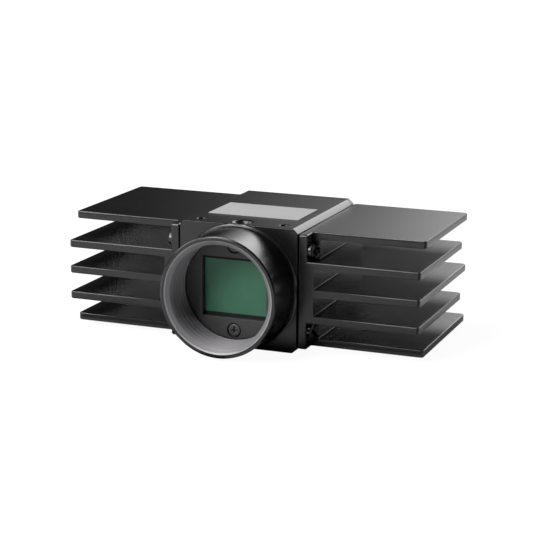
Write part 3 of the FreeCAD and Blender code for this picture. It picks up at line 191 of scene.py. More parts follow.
# Plated sheet: bright, with a faint rolling grain.
SHIELD_STEEL = Finish("nickel_plated_steel_sheet", "a6a398", "bdbab0", (0.2, 0.34), metallic=1.0,
                      grain=Grain.DRAWN, grain_mm=0.1, bump_mm=0.001)
# Gold plating: warm bright yellow.
GOLD = Finish("gold_plated_contact", "c79a45", "deb45c", (0.16, 0.26), metallic=1.0,
              grain_mm=0.1, bump_mm=0.001)
# Moulded acrylic: a pale glassy dot.
CLEAR_PIPE = Finish("clear_acrylic_pipe", "c7d2cf", "dbe4e1", (0.04, 0.1), grain_mm=1.0,
                    bump_mm=0.0, transmission=0.7)
# Matt polyester film: even light grey.
LABEL_FILM = Finish("matt_grey_label_film", "9a9a9b", "9e9e9f", (0.65, 0.7), grain_mm=0.6,
                    bump_mm=0.0002, specular=0.08, speckle=0.08)

FINISHED_NODES = {
    BODY_ANODISED: ("main_housing", "rear_cover"),
    SINK_ANODISED: ("heat_sink_left", "heat_sink_right"),
    MOUNT_ANODISED: ("lens_mount",),
    MASK_ANODISED: ("sensor_mask",),
    BLACK_NICKEL: ("heat_sink_screws_left", "heat_sink_screws_right"),
    SCREW_FACE: ("mask_screws",),
    BLACK_OXIDE: ("rear_cover_screws",),
    BRIGHT_STEEL: ("lens_mount_screws", "board_screws"),
    NICKEL_BRASS: ("standoffs_front", "standoffs_middle", "standoffs_rear", "power_socket",
                   "power_socket_nut"),
    FILTER_GLASS: ("cover_glass",),
    SEAL_RUBBER: ("sensor_gasket",),
    CERAMIC: ("sensor_package",),
    SILICON: ("sensor_die",),
    CONNECTOR_PLASTIC: ("sensor_socket", "board_connectors_front", "board_connectors_middle",
                        "board_connectors_rear", "network_socket_insert",
                        "power_socket_insert"),
    SOLDER_MASK: ("sensor_board", "processor_board", "power_board", "interface_board"),
    CHIP_EPOXY: ("processor_chip", "memory_chips", "network_chip", "power_inductors"),
    THERMAL_PAD: ("processor_pad", "side_pad_left", "side_pad_right"),
    MILLED_ALUMINIUM: ("heat_spreader",),
    SHIELD_STEEL: ("network_socket_shield",),
    GOLD: ("network_contacts", "power_socket_pins"),
    CLEAR_PIPE: ("status_light_pipe", "status_light_source"),
    LABEL_FILM: ("label_plate",),
}
NODE_FINISHES = {node: finish for finish, nodes in FINISHED_NODES.items() for node in nodes}


def add_node(tree: bpy.types.NodeTree, kind: str, *by_place: object,
             settings: dict[str, str] | None = None, **by_name: object) -> bpy.types.Node:
    """Add one node with its settings and set or link its inputs.

    Args:
        tree: Node tree that gets the node.
        kind: Blender's class name of the node.
        *by_place: The first inputs in order, each a value or an output socket.
        settings: Attributes of the node.
        **by_name: Inputs by name, with spaces as underscores.

    Returns:
        The new node.
    """
    node = tree.nodes.new(kind)
    for name, value in (settings or {}).items():
        setattr(node, name, value)
    given = list(zip(node.inputs, by_place))
    given += [(node.inputs[name.replace("_", " ")], value) for name, value in by_name.items()]
    for socket, value in given:
        if isinstance(value, bpy.types.NodeSocket):
            tree.links.new(value, socket)
        else:
            socket.default_value = value
    return node


def new_material(name: str) -> tuple[bpy.types.Material, bpy.types.NodeTree]:
    """Make a material that has no nodes yet.

    Args:
        name: Name of the material.

    Returns:
        The material and its node tree.
    """
    material = bpy.data.materials.new(name)
    material.use_nodes = True
    material.node_tree.nodes.clear()
    return material, material.node_tree


class MaterialShop:
    """Makes each finish's material once.

    A finish's colour and roughness drift over clouds of about 14 mm, with its fine grain on top.
    """

    CLOUDS_PER_METRE = 70.0
    CLOUD_RANGE = (0.3, 0.7)
    CREST_HIGHLIGHT_SHARE = 0.45
    RAMP_REACH = 0.2

    def __init__(self) -> None:
        self.made: dict[str, bpy.types.Material] = {}

    def get(self, finish: Finish) -> bpy.types.Material:
        """Give the material of a finish.

        Args:
            finish: The finish.

        Returns:
            Its material, built on first use.
        """
        if finish.name not in self.made:
            self.made[finish.name] = self._build(finish)
        return self.made[finish.name]

    def _build(self, finish: Finish) -> bpy.types.Material:
        """Build a material's nodes.

        Args:
            finish: The finish.

        Returns:
            The new material.
        """
        material, tree = new_material(finish.name)
        point = add_node(tree, "ShaderNodeTexCoord").outputs["Object"]
        grain = add_node(tree, "ShaderNodeTexNoise", Vector=self._grain_place(tree, point, finish),
                         Scale=1 / (finish.grain_mm * MM), Detail=3.0, Roughness=0.55)
        clouds = add_node(tree, "ShaderNodeTexNoise", Vector=point, Scale=self.CLOUDS_PER_METRE,
                          Detail=2.0, Roughness=0.5)
        add = {"operation": "MULTIPLY_ADD"}
        tone = add_node(tree, "ShaderNodeMath", grain.outputs["Fac"], finish.speckle,
                        clouds.outputs["Fac"], settings=add)
        # Lighter stripes round the axis: painted highlights of the thread's crests.
        if finish.crest_highlight_mm:
            # A wave texture repeats every tau / (20 * scale).
            crest_highlights = add_node(tree, "ShaderNodeTexWave", Vector=point, Distortion=0.0,
                             Scale=math.tau / (20 * finish.crest_highlight_mm * MM),
                             settings={"bands_direction": "Y"})
            tone = add_node(tree, "ShaderNodeMath", crest_highlights.outputs["Fac"], self.CREST_HIGHLIGHT_SHARE,
                            tone.outputs["Value"], settings=add)
        colours = add_node(tree, "ShaderNodeValToRGB", Fac=tone.outputs["Value"])
        middle = 0.5 + 0.5 * finish.speckle
        dark, light = colours.color_ramp.elements
        dark.position, dark.color = middle - self.RAMP_REACH, srgb(finish.dark)
        light.position, light.color = middle + self.RAMP_REACH, srgb(finish.light)
        rough = add_node(tree, "ShaderNodeMapRange", clouds.outputs["Fac"], *self.CLOUD_RANGE,
                         *finish.roughness)
        shader = add_node(tree, "ShaderNodeBsdfPrincipled", Base_Color=colours.outputs["Color"],
                          Roughness=rough.outputs["Result"], Metallic=finish.metallic,
                          Specular_IOR_Level=finish.specular, Coat_Weight=finish.coat,
                          Transmission_Weight=finish.transmission)
        if finish.bump_mm:
            bump = add_node(tree, "ShaderNodeBump", Height=grain.outputs["Fac"], Strength=1.0,
                            Distance=finish.bump_mm * MM)
            tree.links.new(bump.outputs["Normal"], shader.inputs["Normal"])
        add_node(tree, "ShaderNodeOutputMaterial", shader.outputs["BSDF"])
        return material

    @staticmethod
    def _grain_place(tree: bpy.types.NodeTree, point: bpy.types.NodeSocket,
                     finish: Finish) -> bpy.types.NodeSocket:
        """Coordinates in which the fine texture runs the way the surface was worked.

        Args:
            tree: The material's nodes.
            point: Socket that gives the place on the object.
            finish: The finish, whose grain sets the direction.

        Returns:
            Socket that gives the coordinates.
        """
        if finish.grain is Grain.DRAWN:
            along = add_node(tree, "ShaderNodeMapping", Vector=point, Scale=(1.0, 0.04, 1.0))
            return along.outputs["Vector"]
        if finish.grain is Grain.TURNED:
            parts = add_node(tree, "ShaderNodeSeparateXYZ", point)
            flat = add_node(tree, "ShaderNodeCombineXYZ", X=parts.outputs["X"],
                            Z=parts.outputs["Z"])
            radius = add_node(tree, "ShaderNodeVectorMath", flat.outputs["Vector"],
                              settings={"operation": "LENGTH"})
            rings = add_node(tree, "ShaderNodeCombineXYZ", X=radius.outputs["Value"],
                             Y=parts.outputs["Y"])
            return rings.outputs["Vector"]
        return point


def publish(mesh: bpy.types.Mesh, name: str, node: str) -> None:
    """Put a finished mesh into the scene in place of its CAD node.

    Args:
        mesh: The mesh, in the part's frame.
        name: Name of the piece.
        node: CAD node it stands for.
    """
    thing = link_object(name, mesh)
    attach(thing, ROOT)
    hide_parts(node)
    LOG.info("%s: %d triangles", name, sum(len(face.vertices) - 2 for face in mesh.polygons))


def link_object(name: str, data: bpy.types.ID) -> bpy.types.Object:
    """Make an object and link it into the scene.

    Args:
        name: Name of the object.
        data: Its mesh, light or camera.

    Returns:
        The linked object.
    """
    thing = bpy.data.objects.new(name, data)
    bpy.context.scene.collection.objects.link(thing)
    return thing


def settle(thing: bpy.types.Object, name: str) -> bpy.types.Mesh:
    """Read an object with its modifiers as a plain mesh and remove the object.

    Args:
        thing: The temporary object.
        name: Name of the new mesh.

    Returns:
        The plain mesh.
    """
    bpy.context.view_layer.update()
    graph = bpy.context.evaluated_depsgraph_get()
    mesh = bpy.data.meshes.new_from_object(thing.evaluated_get(graph), depsgraph=graph)
    mesh.name = name
    bpy.data.objects.remove(thing)
    return mesh


def smooth_by_area(mesh: bpy.types.Mesh, name: str, sharp_degrees: float) -> bpy.types.Mesh:
    """Smooth shading that leaves large flat faces flat.

    Args:
        mesh: Mesh to shade.
        name: Name of the new mesh.
        sharp_degrees: Edges that turn more than this stay sharp.

    Returns:
        The shaded mesh.
    """
    mesh.shade_smooth()
    mesh.set_sharp_from_angle(angle=math.radians(sharp_degrees))
    thing = link_object(name, mesh)
    weights = thing.modifiers.new("area_normals", "WEIGHTED_NORMAL")
    weights.keep_sharp = True
    weights.weight = 100
    return settle(thing, name)


def bevelled_copy(node: str, width_mm: float, shortest_mm: float) -> bpy.types.Mesh:
    """Copy of a CAD node with its machined edges broken.

    Args:
        node: Name of the CAD node.
        width_mm: Width of the broken edge.
        shortest_mm: Edges shorter than this are left alone.

    Returns:
        The new mesh, with material 0 on its faces and 1 on its broken edges.
    """
    work = bmesh.new()
    work.from_mesh(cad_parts[node].data)
    merge_mm, flat_degrees, corner_degrees = 0.002, 0.3, 30
    bmesh.ops.remove_doubles(work, verts=work.verts, dist=merge_mm * MM)
    bmesh.ops.dissolve_limit(work, angle_limit=math.radians(flat_degrees), verts=work.verts,
                             edges=work.edges)
    long_edges = [edge for edge in work.edges if len(edge.link_faces) == 2
                  and edge.calc_length() > shortest_mm * MM
                  and edge.calc_face_angle(0.0) > math.radians(corner_degrees)]
    for face in work.faces:
        face.material_index = 0
    broken = bmesh.ops.bevel(work, geom=long_edges, offset=width_mm * MM, offset_type="OFFSET",
                             segments=1, profile=0.5, affect="EDGES", clamp_overlap=False)
    for face in broken["faces"]:
        face.material_index = 1
    name = node + "_bevelled"
    return smooth_by_area(to_mesh(work, name), name, sharp_degrees=38)


def lathe(profile_mm: list[Pair], steps: int) -> bmesh.types.BMesh:
    """Turn a profile about +Y.

    Args:
        profile_mm: Radius and distance along +Y of each corner.
        steps: Segments round the axis.

    Returns:
        The turned surface.
    """
    work = bmesh.new()
    rings = []
    for radius, along in profile_mm:
        if not radius:
            rings.append([work.verts.new((0.0, along * MM, 0.0))] * steps)
            continue
        ring = []
        for step in range(steps):
            turn = math.tau * step / steps
            ring.append(work.verts.new((radius * MM * math.cos(turn), along * MM,
                                        radius * MM * math.sin(turn))))
        rings.append(ring)
    skin(work, rings)
    return work


def skin(work: bmesh.types.BMesh, rings: list[list[bmesh.types.BMVert]]) -> None:
    """Join closed rings of vertices with faces. At a pole the ring repeats one vertex.

    Args:
        work: Mesh that gets the faces.
        rings: The rings, each with the same number of vertices.
    """
    for first, second in zip(rings, rings[1:]):
        for step in range(len(first)):
            after = (step + 1) % len(first)
            corners = dict.fromkeys((first[step], first[after], second[after], second[step]))
            if len(corners) > 2:
                work.faces.new(list(corners))
    bmesh.ops.recalc_face_normals(work, faces=work.faces)


def rounded(corner: Pair, before: Pair, after: Pair, width: float,
            steps: int = 3) -> list[Pair]:
    """Points that round a profile corner.

    Args:
        corner: The corner.
        before: Corner before it.
        after: Corner after it.
        width: Distance from the corner at which the rounding starts.
        steps: Segments of the rounding.

    Returns:
        Points from before to after.
    """
    middle, first, last = Vector(corner), Vector(before), Vector(after)
    start = middle + (first - middle).normalized() * width
    end = middle + (last - middle).normalized() * width
    points = []
    for step in range(steps + 1):
        share = step / steps
        point = start * (1 - share) ** 2 + middle * 2 * share * (1 - share) + end * share ** 2
        points.append((point.x, point.y))
    return points


def boolean_cut(body: bpy.types.Mesh, cutter: bpy.types.Mesh, name: str) -> bpy.types.Mesh:
    """Cut one closed mesh out of another.

    Args:
        body: Mesh that stays.
        cutter: Mesh that is taken away.
        name: Name of the new mesh.

    Returns:
        The cut mesh.
    """
    kept = link_object(name, body)
    tool = link_object(name + "_cutter", cutter)
    cut = kept.modifiers.new("cut", "BOOLEAN")
    cut.operation = "DIFFERENCE"
    cut.solver = "EXACT"
    cut.object = tool
    mesh = settle(kept, name)
    bpy.data.objects.remove(tool)
    return mesh


def to_mesh(work: bmesh.types.BMesh, name: str) -> bpy.types.Mesh:
    """Turn a working mesh into a mesh and free it.

    Args:
        work: The working mesh.
        name: Name of the mesh.

    Returns:
        The mesh.
    """
    mesh = bpy.data.meshes.new(name)
    work.to_mesh(mesh)
    work.free()
    return mesh


@dataclass
class LensMount:
    """The turned lens mount with its cut thread.

    Attributes:
        thread_mm: Outer diameter of the thread.
        pitch_mm: Pitch of the thread.
        mouth_mm: Radius at the front face.
        relief_mm: Radius of the relief behind the thread.
        relief_start_mm: Where the relief starts.
        ledge_mm: Where the ledge stands.
        neck_mm: Outside radius.
        foot_mm: Radius of the foot.
        flush_mm: Distance of the foot's flats from the axis.
        foot_thickness_mm: Thickness of the foot.
        length_mm: Length of the mount.
        chamfer_mm: Chamfer outside the front face.
        ledge_depth_mm: How far the ledge stands in from the relief.
        cut_edge_mm: Depth to which the mouth's cone is bare metal.
        thread_depth: Depth of the thread as a share of its pitch.
        crest_flat: Width of the thread's crest as a share of its pitch.
        steps: Segments round the axis.
    """

    thread_mm: float = 42.0
    pitch_mm: float = 1.0
    mouth_mm: float = 22.5
    relief_mm: float = 21.15
    relief_start_mm: float = 16.3
    ledge_mm: float = 18.9
    neck_mm: float = 24.1
    foot_mm: float = 25.5
    flush_mm: float = 25.0
    foot_thickness_mm: float = 0.6
    length_mm: float = 20.9
    chamfer_mm: float = 0.5
    ledge_depth_mm: float = 1.1
    cut_edge_mm: float = 0.5
    thread_depth: float = 0.54
    crest_flat: float = 0.16
    steps: int = 192

    def build(self, shop: MaterialShop) -> None:
        """Build the piece.

        Args:
            shop: Source of materials.
        """
        slack_mm, merge_mm = 0.01, 0.001
        joined = self._outside()
        for face in joined.faces:
            place = face.calc_center_median() / MM
            inside = math.hypot(place.x, place.z) < self.relief_mm + slack_mm
            face.material_index = 1 if inside and place.y < self.length_mm else 0
        outside_count = len(joined.faces)
        joined.from_mesh(to_mesh(self._thread(), "lens_mount_thread"))
        joined.faces.ensure_lookup_table()
        for face in joined.faces[outside_count:]:
            at_mouth = face.calc_center_median().y < self.cut_edge_mm * MM
            face.material_index = 2 if at_mouth else 1
        bmesh.ops.remove_doubles(joined, verts=joined.verts, dist=merge_mm * MM)
        mesh = to_mesh(joined, "lens_mount_turned")
        for finish in (MOUNT_ANODISED, THREAD_ANODISED, CUT_EDGE):
            mesh.materials.append(shop.get(finish))
        publish(smooth_by_area(mesh, "lens_mount_turned", sharp_degrees=25),
                "lens_mount_turned", "lens_mount")

    def _outside(self) -> bmesh.types.BMesh:
        """Everything but the thread: front ring, neck, foot, ledge and relief.

        Returns:
            The turned surface, open at the thread.
        """
        neck_end = self.length_mm - self.foot_thickness_mm
        front, fillet_steps = self.neck_mm - self.chamfer_mm, 8
        inner_soft, outer_soft, foot_soft, foot_land = 0.12, 0.15, 0.04, 0.05
        fillet = self.foot_mm - self.neck_mm - foot_land
        ledge = self.relief_mm - self.ledge_depth_mm
        profile = [(self.mouth_mm, 0.0), (self.mouth_mm + inner_soft, 0.0)]
        profile += rounded((front, 0.0), (self.mouth_mm, 0.0), (self.neck_mm, self.chamfer_mm),
                           inner_soft)
        profile += rounded((self.neck_mm, self.chamfer_mm), (front, 0.0),
                           (self.neck_mm, neck_end), outer_soft)
        for step in range(fillet_steps + 1):
            turn = math.pi / 2 * step / fillet_steps
            profile.append((self.neck_mm + fillet * (1 - math.cos(turn)),
                            neck_end - fillet * (1 - math.sin(turn))))
        profile += rounded((self.foot_mm, neck_end), (self.neck_mm + fillet, neck_end),
                           (self.foot_mm, self.length_mm), foot_soft)
        profile += [(self.foot_mm, self.length_mm), (self.relief_mm, self.length_mm),
                    (ledge, self.length_mm), (ledge, self.ledge_mm),
                    (self.relief_mm, self.ledge_mm), (self.relief_mm, self.relief_start_mm)]
        work = lathe(profile, self.steps)
        limit = self.flush_mm * MM
        for vertex in work.verts:
            vertex.co.x = min(max(vertex.co.x, -limit), limit)
            vertex.co.z = min(max(vertex.co.z, -limit), limit)
        return work

    def _thread(self) -> bmesh.types.BMesh:
        """The helical thread, which runs out on the cone at the mouth.

        Returns:
            The cut surface.
        """
        work = bmesh.new()
        outer, flat = self.thread_mm / 2, self.crest_flat
        crest = outer - self.thread_depth * self.pitch_mm
        # One pitch of the thread: place as a share of the pitch and share of the depth.
        corners = ((0.0, 0.0), (flat, 0.0), (0.25 + flat / 2, 0.5), (0.5, 1.0),
                   (0.5 + flat / 2, 1.0), (0.75 + flat / 4, 0.5))
        spare_turns, merge_mm, sliver_mm = 2, 0.003, 0.001
        turns = int(self.relief_start_mm / self.pitch_mm) + spare_turns
        grid = []
        for step in range(self.steps + 1):
            lead = self.pitch_mm * (step / self.steps - 1)
            column = []
            turn = math.tau * step / self.steps
            for row in range(turns):
                for phase, depth in corners:
                    along = lead + (row + phase) * self.pitch_mm
                    if along <= 0.0:
                        place, radius = 0.0, self.mouth_mm
                    elif along >= self.relief_start_mm:
                        place, radius = self.relief_start_mm, self.relief_mm
                    else:
                        place = along
                        radius = max(crest + (outer - crest) * depth, self.mouth_mm - along)
                    column.append(work.verts.new((radius * MM * math.cos(turn), place * MM,
                                                  radius * MM * math.sin(turn))))
            grid.append(column)
        for left, right in zip(grid, grid[1:]):
            for row in range(len(left) - 1):
                work.faces.new((left[row], right[row], right[row + 1], left[row + 1]))
        bmesh.ops.remove_doubles(work, verts=work.verts, dist=merge_mm * MM)
        bmesh.ops.dissolve_degenerate(work, edges=work.edges, dist=sliver_mm * MM)
        bmesh.ops.recalc_face_normals(work, faces=work.faces)
        outward = sum(face.normal.dot(face.calc_center_median() * Vector((1.0, 0.0, 1.0)))
                      for face in work.faces)
        if outward > 0:
            bmesh.ops.reverse_faces(work, faces=work.faces)
        return work


@dataclass
class Drive:
    """Recess in a screw head.

    Attributes:
        depth_mm: Depth of the recess.
        width_mm: Arm width of a cross, or width across flats of a hexagon.
        reach_mm: Span of a cross, or 0.
    """

    depth_mm: float
    width_mm: float
    reach_mm: float = 0.0

    def cutter(self, top_mm: float) -> bpy.types.Mesh:
        """Mesh that cuts the recess.

        A hexagon has straight sides and a shallow conical floor. The arms of a cross narrow and
        shorten towards the floor.

        Args:
            top_mm: Coordinate of the head's top on Y; the head faces -Y.

        Returns:
            The closed cutter.
        """
        clearance_mm, cone_mm = 1.0, 0.35
        above, floor = top_mm - clearance_mm, top_mm + self.depth_mm
        if not self.reach_mm:
            corner = self.width_mm / math.sqrt(3)
            profile = [(0.0, above), (corner, above), (corner, floor), (0.0, floor + cone_mm)]
            return to_mesh(lathe(profile, steps=6), "recess_cutter")
        work = bmesh.new()
        rings = []
        floor_share, kept_width, least_reach = 0.34, 0.6, 1.3
        for along, share in ((above, 1.0), (top_mm, 1.0), (floor, floor_share)):
            arm = self.width_mm / 2 * (kept_width + (1.0 - kept_width) * share)
            reach = max(self.reach_mm / 2 * share, arm * least_reach)
            outline = [(arm, arm), (arm, reach), (-arm, reach), (-arm, arm), (-reach, arm),
                       (-reach, -arm), (-arm, -arm), (-arm, -reach), (arm, -reach), (arm, -arm),
                       (reach, -arm), (reach, arm)]
            rings.append([work.verts.new((across * MM, along * MM, up * MM))
                          for across, up in outline])
        work.faces.new(rings[0])
        work.faces.new(rings[-1])
        skin(work, rings)
        return to_mesh(work, "recess_cutter")


@dataclass
class ScrewSet:
    """Equal screws at the places of one CAD node's solids.

    Attributes:
        node: CAD node they stand for.
        slot: Name of a material slot for their finish; not used.
        profile_mm: Radius and distance behind the seat, from head to tip.
        drive: Recess in the head.
        places_mm: Seat of each screw.
        facing: Direction of the heads.
    """

    node: str
    slot: str
    profile_mm: list[Pair]
    drive: Drive
    places_mm: list[tuple[float, float, float]]
    facing: tuple[float, float, float]

    def build(self, shop: MaterialShop) -> None:
        """Put a screw at each place.

        Args:
            shop: Source of materials.
        """
        one, name = self.node + "_single", self.node + "_detailed"
        top = min(along for _, along in self.profile_mm)
        turned = to_mesh(lathe(self.profile_mm, steps=72), one)
        cut = boolean_cut(turned, self.drive.cutter(top), one)
        single = smooth_by_area(cut, one, sharp_degrees=32)
        turn = Vector((0.0, -1.0, 0.0)).rotation_difference(Vector(self.facing))
        single.transform(turn.to_matrix().to_4x4())
        points = [Vector(place) * MM for place in self.places_mm]
        mesh = instance_on_points(name, points, single, shop.get(NODE_FINISHES[self.node]))
        publish(mesh, name, self.node)


def instance_on_points(name: str, points: list[Vector], single: bpy.types.Mesh,
                       material: bpy.types.Material) -> bpy.types.Mesh:
    """Repeat a mesh at given points with geometry nodes and read the result as a plain mesh.

    Args:
        name: Name of the new mesh.
        points: Where the copies go.
        single: Mesh to repeat.
        material: Material of the result.

    Returns:
        The plain mesh.
    """
    cloud = bpy.data.meshes.new(name + "_points")
    cloud.from_pydata([tuple(point) for point in points], [], [])
    carrier = link_object(name + "_carrier", cloud)
    pattern = link_object(name + "_pattern", single)
    tree = bpy.data.node_groups.new(name + "_repeat", "GeometryNodeTree")
    face = tree.interface
    face.new_socket("Points", in_out="INPUT", socket_type="NodeSocketGeometry")
    wanted = face.new_socket("Pattern", in_out="INPUT", socket_type="NodeSocketObject")
    face.new_socket("Geometry", in_out="OUTPUT", socket_type="NodeSocketGeometry")
    given = add_node(tree, "NodeGroupInput").outputs
    source = add_node(tree, "GeometryNodeObjectInfo", Object=given["Pattern"])
    copies = add_node(tree, "GeometryNodeInstanceOnPoints", Points=given["Points"],
                      Instance=source.outputs["Geometry"])
    real = add_node(tree, "GeometryNodeRealizeInstances", copies.outputs["Instances"])
    painted = add_node(tree, "GeometryNodeSetMaterial", real.outputs["Geometry"],
                       Material=material)
    add_node(tree, "NodeGroupOutput", Geometry=painted.outputs["Geometry"])
    modifier = carrier.modifiers.new("repeat", "NODES")
    modifier.node_group = tree
    modifier[wanted.identifier] = pattern
    mesh = settle(carrier, name)
    bpy.data.objects.remove(pattern)
    return mesh


class Fasteners:
    """Screws that show. Their seats are worked out from the pieces that they hold."""

    FRONT_INSET_MM = 3.5
    REAR_INSET_MM = 5.2
    LUG_MM = 3.3
    SINK_FRONT_Z = 16.125
    SINK_REAR_Z = 10.75
    MASK_SEAT_Y = 18.5
    MASK_SCREW_Z = 17.0
    COVER_SCREW_MM = 20.5

    def __init__(self, shop: MaterialShop) -> None:
        self.shop = shop
        low, high = (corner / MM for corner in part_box("heat_sink_right"))
        self.front_y = low.y + self.FRONT_INSET_MM
        self.rear_y = high.y - self.REAR_INSET_MM
        self.seat_x = low.x + self.LUG_MM
        self.cover_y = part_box("rear_cover")[1].y / MM

    def build(self) -> None:
        """Build every set of screws."""
        for side, name in ((-1, "left"), (1, "right")):
            places = [(side * self.seat_x, along, level * up) for along, up in
                      ((self.front_y, self.SINK_FRONT_Z), (self.rear_y, self.SINK_REAR_Z))
                      for level in (-1, 1)]
            ScrewSet("heat_sink_screws_" + name, "black_nickel_screw", *self._button(), places,
                     (side, 0.0, 0.0)).build(self.shop)
        places = [(0.0, self.MASK_SEAT_Y, level * self.MASK_SCREW_Z) for level in (-1, 1)]
        ScrewSet("mask_screws", "black_oxide_screw", *self._pan(), places,
                 (0.0, -1.0, 0.0)).build(self.shop)
        reach = self.COVER_SCREW_MM
        places = [(side * reach, self.cover_y, level * reach) for side in (-1, 1)
                  for level in (-1, 1)]
        ScrewSet("rear_cover_screws", "black_oxide_screw", *self._flat(), places,
                 (0.0, 1.0, 0.0)).build(self.shop)

    @staticmethod
    def _button() -> tuple[list[Pair], Drive]:
        """Button head: an upright flank and a rounded rim under a flat top."""
        head, height, rim, shank, length, tip = 2.85, 1.65, 0.55, 1.5, 6.0, 0.2
        turns = [math.radians(turn) for turn in range(0, 91, 15)]
        profile = [(0.0, -height)]
        profile += [(head - rim * (1 - math.sin(turn)), rim - height - rim * math.cos(turn))
                    for turn in turns]
        profile += [(head, 0.0), (shank, 0.0), (shank, length - tip), (shank - tip, length),
                    (0.0, length)]
        return profile, Drive(depth_mm=0.85, width_mm=2.0)

    @staticmethod
    def _pan() -> tuple[list[Pair], Drive]:
        """Pan head with a wide soft edge."""
        head, height, soft, shank, length = 2.5, 1.2, 0.45, 1.0, 4.4
        profile = [(0.0, -height)]
        profile += rounded((head, -height), (0.0, -height), (head, 0.0), soft, steps=4)
        profile += [(head, 0.0), (shank, 0.0), (shank, length), (0.0, length)]
        return profile, Drive(depth_mm=1.05, width_mm=0.7, reach_mm=3.3)

    @staticmethod
    def _flat() -> tuple[list[Pair], Drive]:
        """Countersunk head, flush with the cover."""
        head, height, soft, shank, length, tip = 2.4, 1.15, 0.12, 1.25, 8.0, 0.2
        profile = [(0.0, 0.0)]
        profile += rounded((head, 0.0), (0.0, 0.0), (shank, height), soft)
        profile += [(shank, height), (shank, length - tip), (shank - tip, length), (0.0, length)]
        return profile, Drive(depth_mm=0.8, width_mm=0.5, reach_mm=2.4)


class Castings:
    """Machined pieces that keep their CAD shape and get broken edges."""

    # The last column is the finish of the broken edges; on the black parts it is a painted
    # highlight.
    PIECES = (
        ("main_housing", "black_anodised_body", 0.3, 2.0, EDGE_PAINTED_HIGHLIGHT),
        ("rear_cover", "black_anodised_body", 0.2, 2.0, EDGE_PAINTED_HIGHLIGHT),
        ("heat_sink_left", "black_anodised_sink", 0.35, 0.8, EDGE_PAINTED_HIGHLIGHT),
        ("heat_sink_right", "black_anodised_sink", 0.35, 0.8, EDGE_PAINTED_HIGHLIGHT),
        ("sensor_mask", "matt_black_mask", 0.12, 2.0, MASK_ANODISED),
        ("network_socket_insert", "black_moulding", 0.12, 0.8, CONNECTOR_PLASTIC),
        ("label_plate", "grey_label", 0.08, 2.0, LABEL_FILM),
    )

    def __init__(self, shop: MaterialShop) -> None:
        self.shop = shop

    def build(self) -> None:
        """Build every piece."""
        for node, slot, width, shortest, edge in self.PIECES:
            mesh = bevelled_copy(node, width, shortest)
            for finish in (NODE_FINISHES[node], edge):
                mesh.materials.append(self.shop.get(finish))
            publish(mesh, node + "_finished", node)


def dress_cad_nodes(shop: MaterialShop) -> None:
    """Give each CAD node that shows as it is its own material.

    Args:
        shop: Source of materials.
    """
    for name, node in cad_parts.items():
        material = shop.get(NODE_FINISHES[name])
        if not node.material_slots:
            node.data.materials.append(material)
        for place in node.material_slots:
            place.material = material


@dataclass(frozen=True)
class Lamp:
    """A soft box of the studio.

    Attributes:
        name: Name of the light.
        azimuth: Degrees from the front towards +X.
        elevation: Degrees above the horizon.
        distance: Distance from the part.
        size: Width and height.
        watts: Power.
    """

    name: str
    azimuth: float
    elevation: float
    distance: float
    size: Pair
    watts: float


@dataclass(frozen=True)
class Panel:
    """A back diffuser whose glow changes from left to right.

    Attributes:
        name: Name of the panel.
        low: Elevation of its lower edge, in degrees.
        high: Elevation of its upper edge.
        shares: Azimuths from +Y towards +X, with shares of the peak glow.
    """

    name: str
    low: float
    high: float
    shares: tuple[Pair, ...]


@dataclass(frozen=True)
class Card:
    """A black card on the floor that paints shade there: the faces that look down at it reflect
    it.

    Attributes:
        name: Name of the card.
        low: X and Y of its left near corner.
        high: X and Y of its right far corner.
    """

    name: str
    low: Pair
    high: Pair


